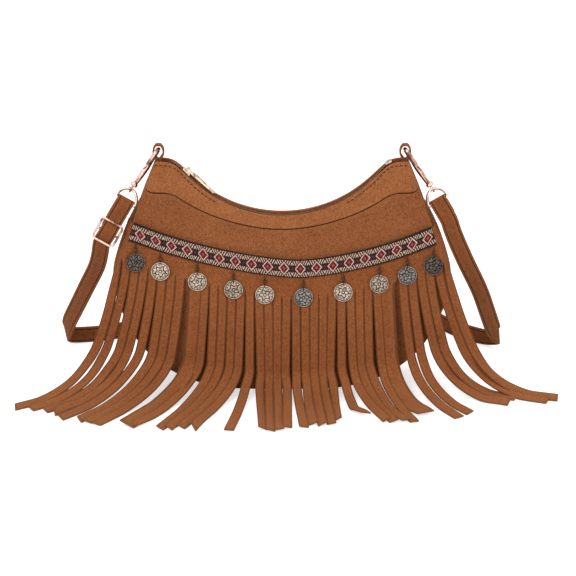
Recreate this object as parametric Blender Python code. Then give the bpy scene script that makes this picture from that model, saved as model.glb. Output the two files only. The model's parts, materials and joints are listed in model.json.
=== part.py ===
"""Fringed suede shoulder bag, standing on a table with its fringe spread on it.

Metres, +Z up, the front towards -Y. The origin is the middle of the flat base. The bag is two
suede panels joined by a gusset, with a plain band round a curved zip mouth. A woven ribbon holds
ten coins and a fringe that is one sheet, slit into strips. The strap hooks onto two tab loops.
"""

import math

import bmesh
import bpy
import numpy as np
from mathutils import Matrix, Vector

for old in list(bpy.data.objects):
    bpy.data.objects.remove(old, do_unlink=True)

# General sizes
CLEAR = 0.0003            # gap left where two pieces touch
SUEDE = 0.0020            # wall of the panels, the bands and the gusset

# Body outline, seen from the front
CORNER_X = 0.107          # top corner from the middle
CORNER_Z = 0.198
CORNER_SLOPE = 0.10       # slope of the mouth's edge where it meets the corner
MOUTH_DIP = 0.150         # height of the mouth's lowest point
MOUTH_RADIUS = 0.108
MOUTH_REACH = 0.084       # half the width of the mouth's round part
WIDEST_X = 0.141          # side seam where the body is widest
WIDEST_Z = 0.098
SIDE_BOW = 0.002          # bow of the side seam
BASE_FLAT = 0.030         # half the flat length of the base
BASE_SQUARENESS = 2.2     # exponent of the rounded lower corners

PANEL_LIFT = 0.0015       # the panels end this share of their height above the base

# Body depth, from the middle plane
MOUTH_HALF = 0.0070
BASE_HALF = 0.0320
WIDEST_HALF = 0.0230
DEPTH_POWER = 1.5         # how long the lower body keeps its depth
GUSSET_BULGE = 0.0065     # how far the gusset stands out at the sides
GUSSET_PINCH = 0.0085     # how far it is folded in under the top corners
GUSSET_SEAM = 0.0016      # from the panel's inner face, square to the middle plane
GUSSET_TOP = 0.90         # share of the side seam that the gusset reaches up to

# Top band
BAND_PROUD = 0.0005
SEAM_MIDDLE = 0.930       # the band's seam, as a share of the panel's height
SEAM_GAP = 0.0006         # between the band and the panel, so that their slanted walls stay apart
SEAM_DROP = 0.130         # how much lower that share is at the sides

# The gusset strip leaves the seam in this direction, seen from above
SIDE_TURN = (0.50, 0.87)

# Ribbon and fringe
RIBBON_WIDTH = 0.0153
RIBBON_THICK = 0.0010
RIBBON_LOW_Z = 0.1066     # height of its middle line at its lowest place
RIBBON_LOW_AT = 0.10      # that place, as a share of the way to the right side seam
RIBBON_LEFT_Z = 0.1406
RIBBON_RIGHT_Z = 0.1372
RIBBON_POWER = 1.55
FRINGE_THICK = 0.0014
FRINGE_TUCK = 0.0010      # how far the fringe's top stays below the ribbon's top
FRINGE_CUT = 0.0240       # where the slits begin, below the ribbon's middle
STRIPS_A_SIDE = 17        # strips on each half of the front; one more hangs on the gusset
SLIT = 0.0005
FRINGE_SPREAD = 1.15      # tip's distance from the middle over its slit's distance
FRINGE_SPLAY = 0.52       # more of that towards the sides
TIP_FORWARD = 0.136       # how far forward the middle tips lie
TIP_BACK = 0.072          # how much less far forward the outermost tips lie
TIP_REACH = 0.240
FRINGE_FLOOR = 0.0004     # underside of the strips above the table
FRINGE_OFF = 2 * CLEAR    # the fringe's inner face off the panel
RIBBON_OFF = FRINGE_OFF + FRINGE_THICK + CLEAR
KNEE = (0.22, 0.035, 0.029, 0.036)   # share of the run, reach in the middle and at the sides, height
LANDING = (0.42, 0.046, 0.036)       # share of the run, reach in the middle and at the sides
STRIP_STEPS = 7

# Coins, with their places along the ribbon
COIN_RADIUS = 0.0080
COIN_THICK = 0.0010
COIN_RIM = 0.0009
COIN_RELIEF = 0.0002
COIN_HOLE = 0.0010
COIN_HOLE_IN = 0.0019     # middle of the hole from the coin's edge
COIN_PLACES = (-0.1332, -0.1086, -0.0744, -0.0420, -0.0148, 0.0185, 0.0530, 0.0853, 0.1113, 0.1375)
LINK_LONG = 0.0044
LINK_WIDE = 0.0029
LINK_WIRE = 0.00035
LINKS = 3
LINK_BITE = 1.15          # the hooked links press into each other, so that a chain is one solid
LINK_PITCH = LINK_LONG - 4 * LINK_WIRE
COIN_HOLE_DROP = COIN_HOLE_IN + COIN_HOLE - 2 * LINK_WIRE - CLEAR / 2

# Zip
TAPE_THICK = 0.0008
TAPE_DEEP = 0.0100
TAPE_BEND = (-0.0012, -0.0024)   # where its outer and its inner face leave the wall
TAPE_EDGE = 0.0011        # height of its edge beside the teeth
TEETH_HALF = 0.0015
TEETH_LOW = 0.0002
TEETH_TOP = 0.0024
TOOTH_NOTCH = 0.0007
TOOTH_PITCH = 0.0036
ZIP_END = 0.0930          # the zip's ends from the middle
ZIP_SINK = 0.0028         # the zip lies this much below the mouth's edge
SLIDER_LONG = 0.0078
SLIDER_HALF = 0.0036
SLIDER_PLATE = 0.0012
SLIDER_SKIRT = 0.0016     # lower edge of the sides of the slider and of the clip
SLIDER_AT = math.radians(-49)
CHEEK = (0.0016, 0.0013, 0.0022)   # half the length, inner and outer face of the slider's cheeks
CHEEK_SINK = 0.0004
CHEEK_ABOVE = 0.0013      # the cheeks stand this far above the pin
PIN_HALF = 0.0018
PIN_RADIUS = 0.0007
PULL_LONG = 0.0310
PULL_WIDE = 0.0066
PULL_THICK = 0.0014
PULL_WINDOW = (0.0095, 0.0205, 0.0038)   # start, end and width of the window
PULL_LIFT = math.radians(4.2)   # the pull rests on the curved row of teeth
PULL_NECK = (0.0050, 0.0075)     # where its narrow neck ends and its full width begins
PULL_NECK_HALF = 0.0010
PULL_CORNER = 0.0020
PULL_EYE = 0.0019         # outer radius of the pull's eye
CLIP_LONG = 0.0050

# Tab loops and hooks; the side is -1 on the left and 1 on the right
TAB_X = 0.1043
TAB_WIDE = 0.0064
TAB_THICK = 0.0016
TAB_HOLE_Z = 0.2050       # middle of the tab's hole
TAB_HOLE = (0.0036, 0.0056)   # half its width and half its height
TAB_FOOT_Z = 0.1880
TAB_TURN = math.radians(92)   # the hole's axis from the bag's length
HOOK_TURN = math.radians(74)  # the hook's plane from the bag's length
EYE = (0.128, -0.004, 0.173)  # middle of the swivel's eye, on the right
LOOP_TOP = (0.1040, 0.0, 0.2072)   # middle of the hook's wire in the tab
HOOK_WIRE = 0.00105
HOOK_FOOT = 0.0047        # where the arm leaves the collar, above the eye
HOOK_ARM = ((0.0020, 0.0013), (0.0042, 0.0016), (0.0064, 0.0018), (0.0078, 0.0018), (0.0082, 0.0013),
            (0.0083, HOOK_WIRE), (0.0083, HOOK_WIRE))    # across the axis, and the arm's radius
HOOK_HEIGHTS = (HOOK_FOOT, 0.0080, 0.0150, 0.0220, 0.0258, 0.0300)
LOOP_SHIFT = 0.00355      # the hook loop's middle beside the swivel's axis
LOOP_RADIUS = 0.00475
NOSE_END = 0.0256         # the nose's end above the eye
NOSE_SIDE = LOOP_SHIFT - LOOP_RADIUS + 0.0002    # and beside the swivel's axis
EYE_RADIUS = 0.0029
EYE_WIRE = 0.0008
STEM = 0.0008
COLLAR = (0.0036, 0.0058, 0.0027)   # bottom, top and radius, above the eye
STEM_HEAD = (0.0009, 0.0016)        # height and radius
GATE_WIRE = 0.0008
GATE_ROUTE = ((0.0080, -0.0026), (0.0135, -0.0046), (0.0200, -0.0057), (0.0226, -0.0040))

# Ring, strap and buckle
RING_BAR = (0.1325, -0.0155, 0.1650)
RING_WIRE = 0.0011
RING_HALF = 0.0092
STRAP_WIDE = 0.0150
STRAP_THICK = 0.0024
STRAP_ACROSS = (0.86, 0.0, 0.51)    # direction of the ring's bar on the right
STRAP_DOWN = (0.50, -0.04, -0.865)  # direction of the strap below the ring on the right
STRAP_REST = STRAP_WIDE / 2 + CLEAR # height of the strap's middle where it stands on its edge
FOLD_BACK_LEFT = 0.0270
FOLD_BACK_RIGHT = 0.0140
BUCKLE_DOWN = 0.0290      # the buckle's middle below the ring's bar
BUCKLE_HALF = 0.0097
BUCKLE_WIRE = 0.0011
BUCKLE_CORNER = 0.0025
BUCKLE_BAR = 0.00094
STATIONS_DOWN = (0.006, 0.012, 0.0175, 0.0215, 0.0250, 0.0290, 0.0330, 0.0365, 0.0405)
STATIONS_RIGHT = 3        # the right end needs only the first ones
WEAVE_DEEP = STRAP_THICK + 2 * BUCKLE_WIRE + 2 * CLEAR    # how far the strap comes forward over the bar
WEAVE_HALF = 0.0078       # half the length of that wave

# Free run of the strap: places with the direction across it, down from the left ring,
# along the table behind the bag on its edge, and up to the right ring
STRAP_LEFT = (
    ((-0.1592, -0.002, 0.1050), (0.84, -0.16, -0.50)),
    ((-0.1715, 0.018, 0.0780), (0.80, -0.28, -0.53)),
    ((-0.1852, 0.043, 0.0480), (0.72, -0.30, -0.62)),
    ((-0.1955, 0.061, 0.0250), (0.52, -0.20, -0.83)),
    ((-0.1968, 0.0715, 0.0112), (0.22, 0.00, -0.98)),
)
STRAP_FLOOR = (
    (-0.187, 0.0775), (-0.160, 0.084), (-0.137, 0.102), (-0.123, 0.138), (-0.108, 0.176), (-0.080, 0.192),
    (-0.054, 0.172), (-0.038, 0.138), (-0.012, 0.118), (0.020, 0.120), (0.044, 0.142), (0.058, 0.176),
    (0.086, 0.196), (0.116, 0.182), (0.134, 0.150), (0.146, 0.118), (0.162, 0.093), (0.183, 0.074),
)
STRAP_RIGHT = (
    ((0.1955, 0.0630, 0.0112), (0.15, 0.25, -0.95)),
    ((0.1908, 0.0490, 0.0260), (-0.45, 0.25, -0.85)),
    ((0.1825, 0.0290, 0.0500), (-0.72, 0.18, -0.66)),
    ((0.1725, 0.0080, 0.0780), (-0.80, 0.12, -0.58)),
    ((0.1585, -0.006, 0.1080), (-0.85, 0.06, -0.52)),
    ((0.1467, -0.013, 0.1350), (-0.86, 0.02, -0.51)),
)


def material(name, colour, roughness, metallic=0.0):
    mat = bpy.data.materials.new(name)
    mat.use_nodes = True
    shader = mat.node_tree.nodes["Principled BSDF"]
    shader.inputs["Base Color"].default_value = (*colour, 1.0)
    shader.inputs["Roughness"].default_value = roughness
    shader.inputs["Metallic"].default_value = metallic
    return mat


SUEDE_MAT = material("cognac_suede", (0.31, 0.108, 0.043), 0.95)
FRINGE_MAT = material("fringe_suede", (0.27, 0.090, 0.033), 0.95)
RIBBON_MAT = material("woven_ribbon", (0.10, 0.018, 0.020), 0.85)
SILVER_MAT = material("antique_silver", (0.42, 0.38, 0.33), 0.45, 1.0)
CHAIN_MAT = material("dark_chain", (0.09, 0.075, 0.065), 0.5, 1.0)
ROSE_MAT = material("rose_gold", (0.83, 0.56, 0.45), 0.22, 1.0)
GOLD_MAT = material("pale_gold", (0.80, 0.66, 0.44), 0.25, 1.0)
TEETH_MAT = material("dark_teeth", (0.05, 0.042, 0.038), 0.45, 1.0)
TAPE_MAT = material("zip_tape", (0.20, 0.060, 0.036), 0.9)


def lerp(a, b, share):
    return a + (b - a) * share


def unit(vector):
    return Vector(vector).normalized()


def made(name, mesh, mat, smooth=True, sharp=math.radians(38)):
    """An object with outward faces and its material."""
    obj = bpy.data.objects.new(name, mesh)
    bpy.context.scene.collection.objects.link(obj)
    mesh.materials.append(mat)
    if smooth:
        mesh.shade_smooth()
        mesh.set_sharp_from_angle(angle=sharp)
    return obj


def mesh_of(name, points, faces, outward=True):
    mesh = bpy.data.meshes.new(name)
    mesh.from_pydata([tuple(p) for p in points], [], faces)
    if outward:
        bm = bmesh.new()
        bm.from_mesh(mesh)
        bmesh.ops.recalc_face_normals(bm, faces=bm.faces)
        bm.to_mesh(mesh)
        bm.free()
    return mesh


def set_origin(obj, origin):
    """Moves the object's origin, with its mesh left in place."""
    obj.data.transform(Matrix.Translation(-Vector(origin)))
    obj.location = origin


def sheet(name, rows, thickness, mat):
    """A sheet over a grid of points, thickened along the grid's normals."""
    across = len(rows[0])
    points = [p for row in rows for p in row]
    faces = []
    for r in range(len(rows) - 1):
        for c in range(across - 1):
            first = r * across + c
            faces.append((first, first + 1, first + across + 1, first + across))
    obj = made(name, mesh_of(name, points, faces, outward=False), mat)
    thicken(obj, thickness)
    return obj


def thicken(obj, thickness):
    wall = obj.modifiers.new("wall", "SOLIDIFY")
    wall.thickness = abs(thickness)
    wall.offset = math.copysign(1.0, thickness)
    wall.use_even_offset = True


def sweep(name, sections, mat, closed=False, smooth=True):
    """A solid through closed sections that all have the same number of points."""
    count = len(sections[0])
    points = [p for section in sections for p in section]
    faces = []
    steps = len(sections) if closed else len(sections) - 1
    for s in range(steps):
        a, b = s * count, ((s + 1) % len(sections)) * count
        for k in range(count):
            n = (k + 1) % count
            faces.append((a + k, a + n, b + n, b + k))
    if not closed:
        last = (len(sections) - 1) * count
        faces.append(tuple(range(count)))
        faces.append(tuple(last + k for k in reversed(range(count))))
    return made(name, mesh_of(name, points, faces), mat, smooth)


def smooth_route(points, steps):
    """Points along a smooth curve through the given ones."""
    pts = [Vector(p) for p in points]
    padded = [2 * pts[0] - pts[1]] + pts + [2 * pts[-1] - pts[-2]]
    route = []
    for i in range(1, len(padded) - 2):
        p0, p1, p2, p3 = padded[i - 1:i + 3]
        for k in range(steps):
            t = k / steps
            route.append(0.5 * (2 * p1 + (p2 - p0) * t + (2 * p0 - 5 * p1 + 4 * p2 - p3) * t ** 2
                                + (3 * p1 - p0 - 3 * p2 + p3) * t ** 3))
    route.append(pts[-1])
    return route


def tangents(points, closed=False):
    found = []
    for i, point in enumerate(points):
        before = points[i - 1] if i or closed else point
        after = points[(i + 1) % len(points)] if i + 1 < len(points) or closed else point
        found.append((after - before).normalized())
    return found


def tube(name, points, radii, mat, sides=8, closed=False, up=(0.0, 0.0, 1.0)):
    """A round wire along points; up is a direction across a flat route."""
    along = tangents(points, closed)
    sections = []
    for point, tangent, radius in zip(points, along, radii):
        right = tangent.cross(Vector(up)).normalized()
        other = tangent.cross(right)
        ring = []
        for k in range(sides):
            angle = 2 * math.pi * (k + 0.5) / sides
            ring.append(point + radius * (math.cos(angle) * right + math.sin(angle) * other))
        sections.append(ring)
    return sweep(name, sections, mat, closed)


def turned(name, profile, mat, segments, matrix=None):
    """A solid turned round Z from (radius, height) pairs; its first and last lie on the axis."""
    points = [Vector((0, 0, profile[0][1])), Vector((0, 0, profile[-1][1]))]
    rings = profile[1:-1]
    for radius, height in rings:
        for k in range(segments):
            angle = 2 * math.pi * k / segments
            points.append(Vector((radius * math.cos(angle), radius * math.sin(angle), height)))
    faces = []
    last = 2 + (len(rings) - 1) * segments
    for k in range(segments):
        n = (k + 1) % segments
        faces.append((0, 2 + k, 2 + n))
        faces.append((1, last + n, last + k))
        for r in range(len(rings) - 1):
            a, b = 2 + r * segments, 2 + (r + 1) * segments
            faces.append((a + k, b + k, b + n, a + n))
    if matrix is not None:
        points = [matrix @ p for p in points]
    return made(name, mesh_of(name, points, faces), mat)


def block(name, low, high, mat, matrix=None):
    xs, ys, zs = zip(low, high)
    points = [Vector((x, y, z)) for x in xs for y in ys for z in zs]
    faces = [(0, 1, 3, 2), (4, 6, 7, 5), (0, 4, 5, 1), (2, 3, 7, 6), (0, 2, 6, 4), (1, 5, 7, 3)]
    if matrix is not None:
        points = [matrix @ p for p in points]
    return made(name, mesh_of(name, points, faces), mat, smooth=False)


def boolean(obj, other, operation):
    """Cuts away or adds another solid, which stays as a hidden helper."""
    change = obj.modifiers.new(operation.lower(), "BOOLEAN")
    change.operation = operation
    change.object = other
    other.hide_render = True
    other.display_type = "WIRE"


def frame_matrix(origin, x_axis, y_axis, z_axis):
    matrix = Matrix((x_axis, y_axis, z_axis)).transposed().to_4x4()
    matrix.translation = origin
    return matrix


# Body surface: u runs across from -1 to 1, v up from the base seam to the mouth
MOUTH_CENTRE_Z = MOUTH_DIP + MOUTH_RADIUS


def mouth_z(x):
    """Height of the mouth's edge: an arc that eases into the corners."""
    x = abs(x)
    if x <= MOUTH_REACH:
        return MOUTH_CENTRE_Z - math.sqrt(MOUTH_RADIUS ** 2 - x ** 2)
    drop = math.sqrt(MOUTH_RADIUS ** 2 - MOUTH_REACH ** 2)
    span = CORNER_X - MOUTH_REACH
    t = (x - MOUTH_REACH) / span
    start, start_slope = MOUTH_CENTRE_Z - drop, MOUTH_REACH / drop
    return ((2 * t ** 3 - 3 * t ** 2 + 1) * start + (t ** 3 - 2 * t ** 2 + t) * span * start_slope
            + (3 * t ** 2 - 2 * t ** 3) * CORNER_Z + (t ** 3 - t ** 2) * span * CORNER_SLOPE)


def base_z(x):
    """Height of the base seam: flat in the middle, then a rounded corner."""
    t = max(0.0, min(1.0, (abs(x) - BASE_FLAT) / (WIDEST_X - BASE_FLAT)))
    power = BASE_SQUARENESS
    return WIDEST_Z * (1 - (1 - t ** power) ** (1 / power))


def panel_xz(u, v):
    low_x, low_z = WIDEST_X * u, base_z(WIDEST_X * u)
    top_x, top_z = CORNER_X * u, mouth_z(CORNER_X * u)
    bow = SIDE_BOW * u * abs(u) ** 3 * math.sin(math.pi * v)
    return lerp(low_x, top_x, v) + bow, lerp(low_z, top_z, v)


def half_depth(u, v):
    low = lerp(BASE_HALF, WIDEST_HALF, abs(u) ** 3)
    return lerp(low, MOUTH_HALF, max(0.0, v) ** DEPTH_POWER)


def seam_v(u):
    return SEAM_MIDDLE - SEAM_DROP * abs(u) ** 3


COLUMNS = [math.sin(math.pi / 2 * k / 11) for k in range(-11, 12)]


def body_rows(v_low, v_high, count, facing, proud=0.0):
    """Grid of points on the front (facing -1) or back (1) between two v lines."""
    rows = []
    for r in range(count + 1):
        row = []
        for u in COLUMNS:
            v = lerp(v_low(u), v_high(u), r / count)
            x, z = panel_xz(u, v)
            row.append(Vector((x, facing * (half_depth(u, v) + proud), z)))
        rows.append(row)
    return rows


def build_body():
    for facing, side in ((-1, "front"), (1, "back")):
        low = body_rows(lambda u: PANEL_LIFT, lambda u: seam_v(u) - SEAM_GAP / MOUTH_DIP, 8, facing)
        sheet(f"{side}_panel", low, facing * SUEDE, SUEDE_MAT)
        high = body_rows(seam_v, lambda u: 1.0, 2, facing, BAND_PROUD)
        sheet(f"{side}_band", high, facing * SUEDE, SUEDE_MAT)


def gusset_line():
    """Stations from the left corner down, along the base and up to the right corner."""
    stations = []
    sides = 9
    for k in range(sides):
        v = lerp(GUSSET_TOP, 0.0, k / sides)
        stations.append((1.0, v))
    base = [math.sin(math.pi / 2 * k / 9) for k in range(9, 1, -1)]
    stations += [(u, 0.0) for u in base] + [(BASE_FLAT / WIDEST_X, 0.0)]
    left = [(-u, v) for u, v in stations]
    return left + [(0.0, 0.0)] + stations[::-1]


def gusset_swell(u, v):
    """How far the gusset stands out from its seams: in under the corners, out at the sides."""
    side = max(0.0, min(1.0, (abs(u) - 0.6) / 0.4)) ** 2
    up = max(0.0, v) / GUSSET_TOP
    return side * lerp(GUSSET_BULGE, -GUSSET_PINCH, up ** 3)


def build_gusset():
    line = gusset_line()
    places = [Vector((x, 0.0, z)) for x, z in (panel_xz(u, v) for u, v in line)]
    along = tangents(places)
    across = 6
    rows = []
    for (u, v), place, tangent in zip(line, places, along):
        outward = Vector((tangent.z, 0.0, -tangent.x))
        reach = half_depth(u, v) - SUEDE - GUSSET_SEAM
        row = []
        for c in range(across + 1):
            share = lerp(-1.0, 1.0, c / across)
            swell = gusset_swell(u, v) * (1 - share ** 2)
            point = place + outward * swell
            point.y = reach * share
            row.append(point)
        rows.append(row)
    sheet("gusset", rows, -SUEDE, SUEDE_MAT)


build_body()
build_gusset()


def line_z(f):
    """Height of the ribbon's middle line; f is -1 at the left side seam and 1 at the right one."""
    end = RIBBON_LEFT_Z if f < RIBBON_LOW_AT else RIBBON_RIGHT_Z
    span = 1.0 + RIBBON_LOW_AT if f < RIBBON_LOW_AT else 1.0 - RIBBON_LOW_AT
    return lerp(RIBBON_LOW_Z, end, (abs(f - RIBBON_LOW_AT) / span) ** RIBBON_POWER)


def skin_half(z):
    """Right half of the body's outline at one height, from the middle to the side seam."""
    line = []
    for k in range(41):
        u = k / 40
        low_z, top_z = base_z(WIDEST_X * u), mouth_z(CORNER_X * u)
        v = (z - low_z) / (top_z - low_z)
        if v < 0.0:
            break
        x, _ = panel_xz(u, v)
        line.append(Vector((x, -half_depth(u, v), z)))
    return line


def skin(f, z, off):
    """A point off the skin: on the front panel up to f = 1, then round onto the gusset."""
    side = -1.0 if f < 0 else 1.0
    line = skin_half(z)
    lengths = np.cumsum([0.0] + [(b - a).length for a, b in zip(line, line[1:])])
    wanted = min(abs(f), 1.0) * lengths[-1]
    i = int(min(len(line) - 2, np.searchsorted(lengths, wanted, side="right") - 1))
    share = (wanted - lengths[i]) / (lengths[i + 1] - lengths[i])
    point = line[i].lerp(line[i + 1], share)
    slope = (line[-1] - line[-3]).normalized() if abs(f) > 0.93 else (
        line[min(i + 3, len(line) - 1)] - line[max(i - 2, 0)]).normalized()
    normal = Vector((-slope.y, slope.x, 0.0)) * -1.0
    if normal.y > 0:
        normal = -normal
    if abs(f) >= 1.0:
        turn = unit((*SIDE_TURN, 0.0))
        outward = Vector((turn.y, -turn.x, 0.0))
        miter = (normal + outward) / (1.0 + normal.dot(outward))
        point = point + miter * off + turn * (abs(f) - 1.0) * lengths[-1]
    else:
        point = point + normal * off
    point.x *= side
    return point


def band_point(f, down, off):
    return skin(f, line_z(f) - down, off)


def build_ribbon():
    columns = 34
    reach = 1.0 - CLEAR / WIDEST_X
    rows = []
    for down in (RIBBON_WIDTH / 2, 0.0, -RIBBON_WIDTH / 2):
        row = []
        for k in range(columns + 1):
            f = lerp(-reach, reach, k / columns)
            row.append(band_point(f, down, RIBBON_OFF))
        rows.append(row)
    sheet("ribbon", rows, RIBBON_THICK, RIBBON_MAT)


def tip_place(x):
    """Where a strip that starts at x lies with its tip on the table."""
    share = x / WIDEST_X
    tip_x = x * (FRINGE_SPREAD + FRINGE_SPLAY * share ** 2)
    forward = TIP_FORWARD - TIP_BACK * (abs(tip_x) / TIP_REACH) ** 3
    return Vector((tip_x, -forward, FRINGE_FLOOR))


def strip_edge(f, t):
    """A point of the fringe below its slits: it hangs, lands on the table and runs to its tip."""
    start = band_point(f, FRINGE_CUT, FRINGE_OFF)
    tip = tip_place(start.x)
    side = min(1.0, abs(start.x) / WIDEST_X) ** 4
    knee = Vector((lerp(start.x, tip.x, KNEE[0]), -lerp(KNEE[1], KNEE[2], side), KNEE[3]))
    landing = Vector((lerp(start.x, tip.x, LANDING[0]), -lerp(LANDING[1], LANDING[2], side),
                      FRINGE_FLOOR))
    s = 1 - t
    return s ** 3 * start + 3 * s * s * t * knee + 3 * s * t * t * landing + t ** 3 * tip


def build_fringe():
    """One sheet: an uncut band, then strips that keep their width along their own paths."""
    points, faces = [], []
    strips = []
    total = STRIPS_A_SIDE + 1
    for k in range(-total, total):
        strips.append((k / STRIPS_A_SIDE, (k + 1) / STRIPS_A_SIDE))
    downs = (FRINGE_TUCK - RIBBON_WIDTH / 2, RIBBON_WIDTH / 2, FRINGE_CUT)
    slit_f = SLIT / (2 * WIDEST_X)
    columns = []
    for low, high in strips:
        columns += [low + slit_f, high - slit_f]
    grid = []
    for down in downs:
        row = []
        for f in columns:
            row.append(len(points))
            points.append(band_point(f, down, FRINGE_OFF))
        grid.append(row)
    for r in range(len(downs) - 1):
        for c in range(len(columns) - 1):
            faces.append((grid[r][c], grid[r + 1][c], grid[r + 1][c + 1], grid[r][c + 1]))
    for i, (low, high) in enumerate(strips):
        left, right = grid[-1][2 * i], grid[-1][2 * i + 1]
        width = (points[right] - points[left]).length
        for step in range(1, STRIP_STEPS + 1):
            t = step / STRIP_STEPS
            a, b = strip_edge(low, t), strip_edge(high, t)
            ahead = ((strip_edge(low, min(1.0, t + 0.02)) + strip_edge(high, min(1.0, t + 0.02)))
                     - (strip_edge(low, t - 0.02) + strip_edge(high, t - 0.02))).normalized()
            across = b - a
            across = (across - across.dot(ahead) * ahead).normalized()
            middle = (a + b) / 2
            points += [middle - across * width / 2, middle + across * width / 2]
            new = (len(points) - 2, len(points) - 1)
            faces.append((left, new[0], new[1], right))
            left, right = new
    obj = made("fringe", mesh_of("fringe", points, faces, outward=False), FRINGE_MAT)
    thicken(obj, FRINGE_THICK)


build_ribbon()
build_fringe()


def coin_mesh():
    """A coin in the plane of X and Z, with the chain's hinge line at the origin."""
    drop = (LINKS - 1) * LINK_PITCH + LINK_LONG - 2 * LINK_WIRE
    middle = -(drop - COIN_HOLE_DROP + COIN_RADIUS)
    half = COIN_THICK / 2
    flat = COIN_RADIUS - COIN_RIM
    profile = [(0, half - COIN_RELIEF), (flat - COIN_RELIEF, half - COIN_RELIEF), (flat, half),
               (COIN_RADIUS, half), (COIN_RADIUS, -half), (0, -half)]
    face = Matrix.Translation((0, 0, middle)) @ Matrix.Rotation(math.radians(90), 4, "X")
    return profile, face, middle


def build_coin(number, place):
    pose = hang_pose(place / WIDEST_X)
    profile, face, middle = coin_mesh()
    coin = turned(f"coin_{number:02d}", profile, SILVER_MAT, 18, face)
    hole_z = middle + COIN_RADIUS - COIN_HOLE_IN
    cut = turned(f"coin_hole_{number:02d}",
                 [(0, COIN_THICK), (COIN_HOLE, COIN_THICK), (COIN_HOLE, -COIN_THICK), (0, -COIN_THICK)],
                 SILVER_MAT, 8, Matrix.Translation((0, 0, hole_z)) @ Matrix.Rotation(math.radians(90), 4, "X"))
    boolean(coin, cut, "DIFFERENCE")
    chain = build_chain(number)
    for obj in (coin, cut, chain):
        obj.matrix_world = pose


def build_chain(number):
    """Three oval links, each a quarter turn from the last, joined where they hook."""
    links = []
    for k in range(LINKS):
        centre = -(LINK_LONG / 2 - LINK_WIRE) - k * LINK_PITCH
        across = Vector((1, 0, 0)) if k % 2 else Vector((0, 1, 0))
        route = []
        sides = 8
        for s in range(sides):
            angle = 2 * math.pi * s / sides
            route.append(Vector((0, 0, centre + (LINK_LONG / 2 - LINK_WIRE) * math.sin(angle)))
                         + across * (LINK_WIDE / 2 - LINK_WIRE) * math.cos(angle))
        up = Vector((0, 1, 0)) if k % 2 else Vector((1, 0, 0))
        name = f"coin_chain_{number:02d}" if k == 0 else f"link_{number:02d}_{k}"
        links.append(tube(name, route, [LINK_WIRE * LINK_BITE] * sides, CHAIN_MAT, 5, True, up))
    for link in links[1:]:
        boolean(links[0], link, "UNION")
        link.parent = links[0]
    return links[0]


def hang_pose(f):
    """Pose of a coin's hinge: X along the ribbon, Y into the bag, Z up its slope."""
    off = FRINGE_OFF + FRINGE_THICK + LINK_WIDE / 2 + LINK_WIRE + CLEAR
    top = band_point(f, RIBBON_WIDTH / 2 + LINK_WIRE * 2 + CLEAR, off)
    low = band_point(f, RIBBON_WIDTH / 2 + COIN_RADIUS * 2.6, off)
    low.x = top.x
    near = band_point(f + 0.01, RIBBON_WIDTH / 2, off) - band_point(f - 0.01, RIBBON_WIDTH / 2, off)
    up = (top - low).normalized()
    x_axis = Vector((near.x, near.y, 0.0))
    x_axis = (x_axis - x_axis.dot(up) * up).normalized()
    return frame_matrix(top, x_axis, up.cross(x_axis), up)


for number, place in enumerate(COIN_PLACES, 1):
    build_coin(number, place)


def mouth_station(x):
    """Middle of the mouth's edge at x and the direction square to it, upwards."""
    step = 0.0005
    along = Vector((2 * step, 0.0, mouth_z(x + step) - mouth_z(x - step))).normalized()
    return Vector((x, 0.0, mouth_z(x))), Vector((-along.z, 0.0, along.x))


def along_mouth(name, xs, profile, mat):
    """Sweeps (y, height) profiles along the mouth's edge; profile is a function of the station."""
    sections = []
    for i, x in enumerate(xs):
        place, up = mouth_station(x)
        sections.append([place + Vector((0, y, 0)) + up * (h - ZIP_SINK) for y, h in profile(i)])
    return sweep(name, sections, mat, smooth=False)


def build_zip():
    wall = MOUTH_HALF - SUEDE - CLEAR
    edge = TEETH_HALF + CLEAR
    xs = [lerp(-ZIP_END, ZIP_END, k / 36) for k in range(37)]
    for side, name in ((-1, "front"), (1, "back")):
        def tape(_):
            outline = ((wall, -TAPE_DEEP), (wall, TAPE_BEND[0]), (edge, TAPE_EDGE),
                       (edge, TAPE_EDGE - TAPE_THICK), (wall - TAPE_THICK, TAPE_BEND[1]),
                       (wall - TAPE_THICK, -TAPE_DEEP))
            return [(side * y, h) for y, h in outline]
        along_mouth(f"zip_tape_{name}", xs, tape, TAPE_MAT)
    count = int(2 * ZIP_END / TOOTH_PITCH)

    def teeth(i):
        top = TEETH_TOP if i % 2 else TEETH_TOP - TOOTH_NOTCH
        return [(-TEETH_HALF, TEETH_LOW), (-TEETH_HALF, top), (TEETH_HALF, top), (TEETH_HALF, TEETH_LOW)]
    xs = [lerp(-ZIP_END, ZIP_END, k / (2 * count)) for k in range(2 * count + 1)]
    along_mouth("zip_teeth", xs, teeth, TEETH_MAT)
    low, plate = TEETH_TOP + CLEAR, TEETH_TOP + CLEAR + SLIDER_PLATE
    outer, inner = SLIDER_HALF, TEETH_HALF + CLEAR

    def clip(_):
        return [(-outer, SLIDER_SKIRT), (-outer, plate), (outer, plate), (outer, SLIDER_SKIRT),
                (inner, SLIDER_SKIRT), (inner, low), (-inner, low), (-inner, SLIDER_SKIRT)]
    end = ZIP_END - CLIP_LONG
    along_mouth("zip_clip", [lerp(end, ZIP_END, k / 3) for k in range(4)], clip, GOLD_MAT)
    build_slider(clip, plate)


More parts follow.
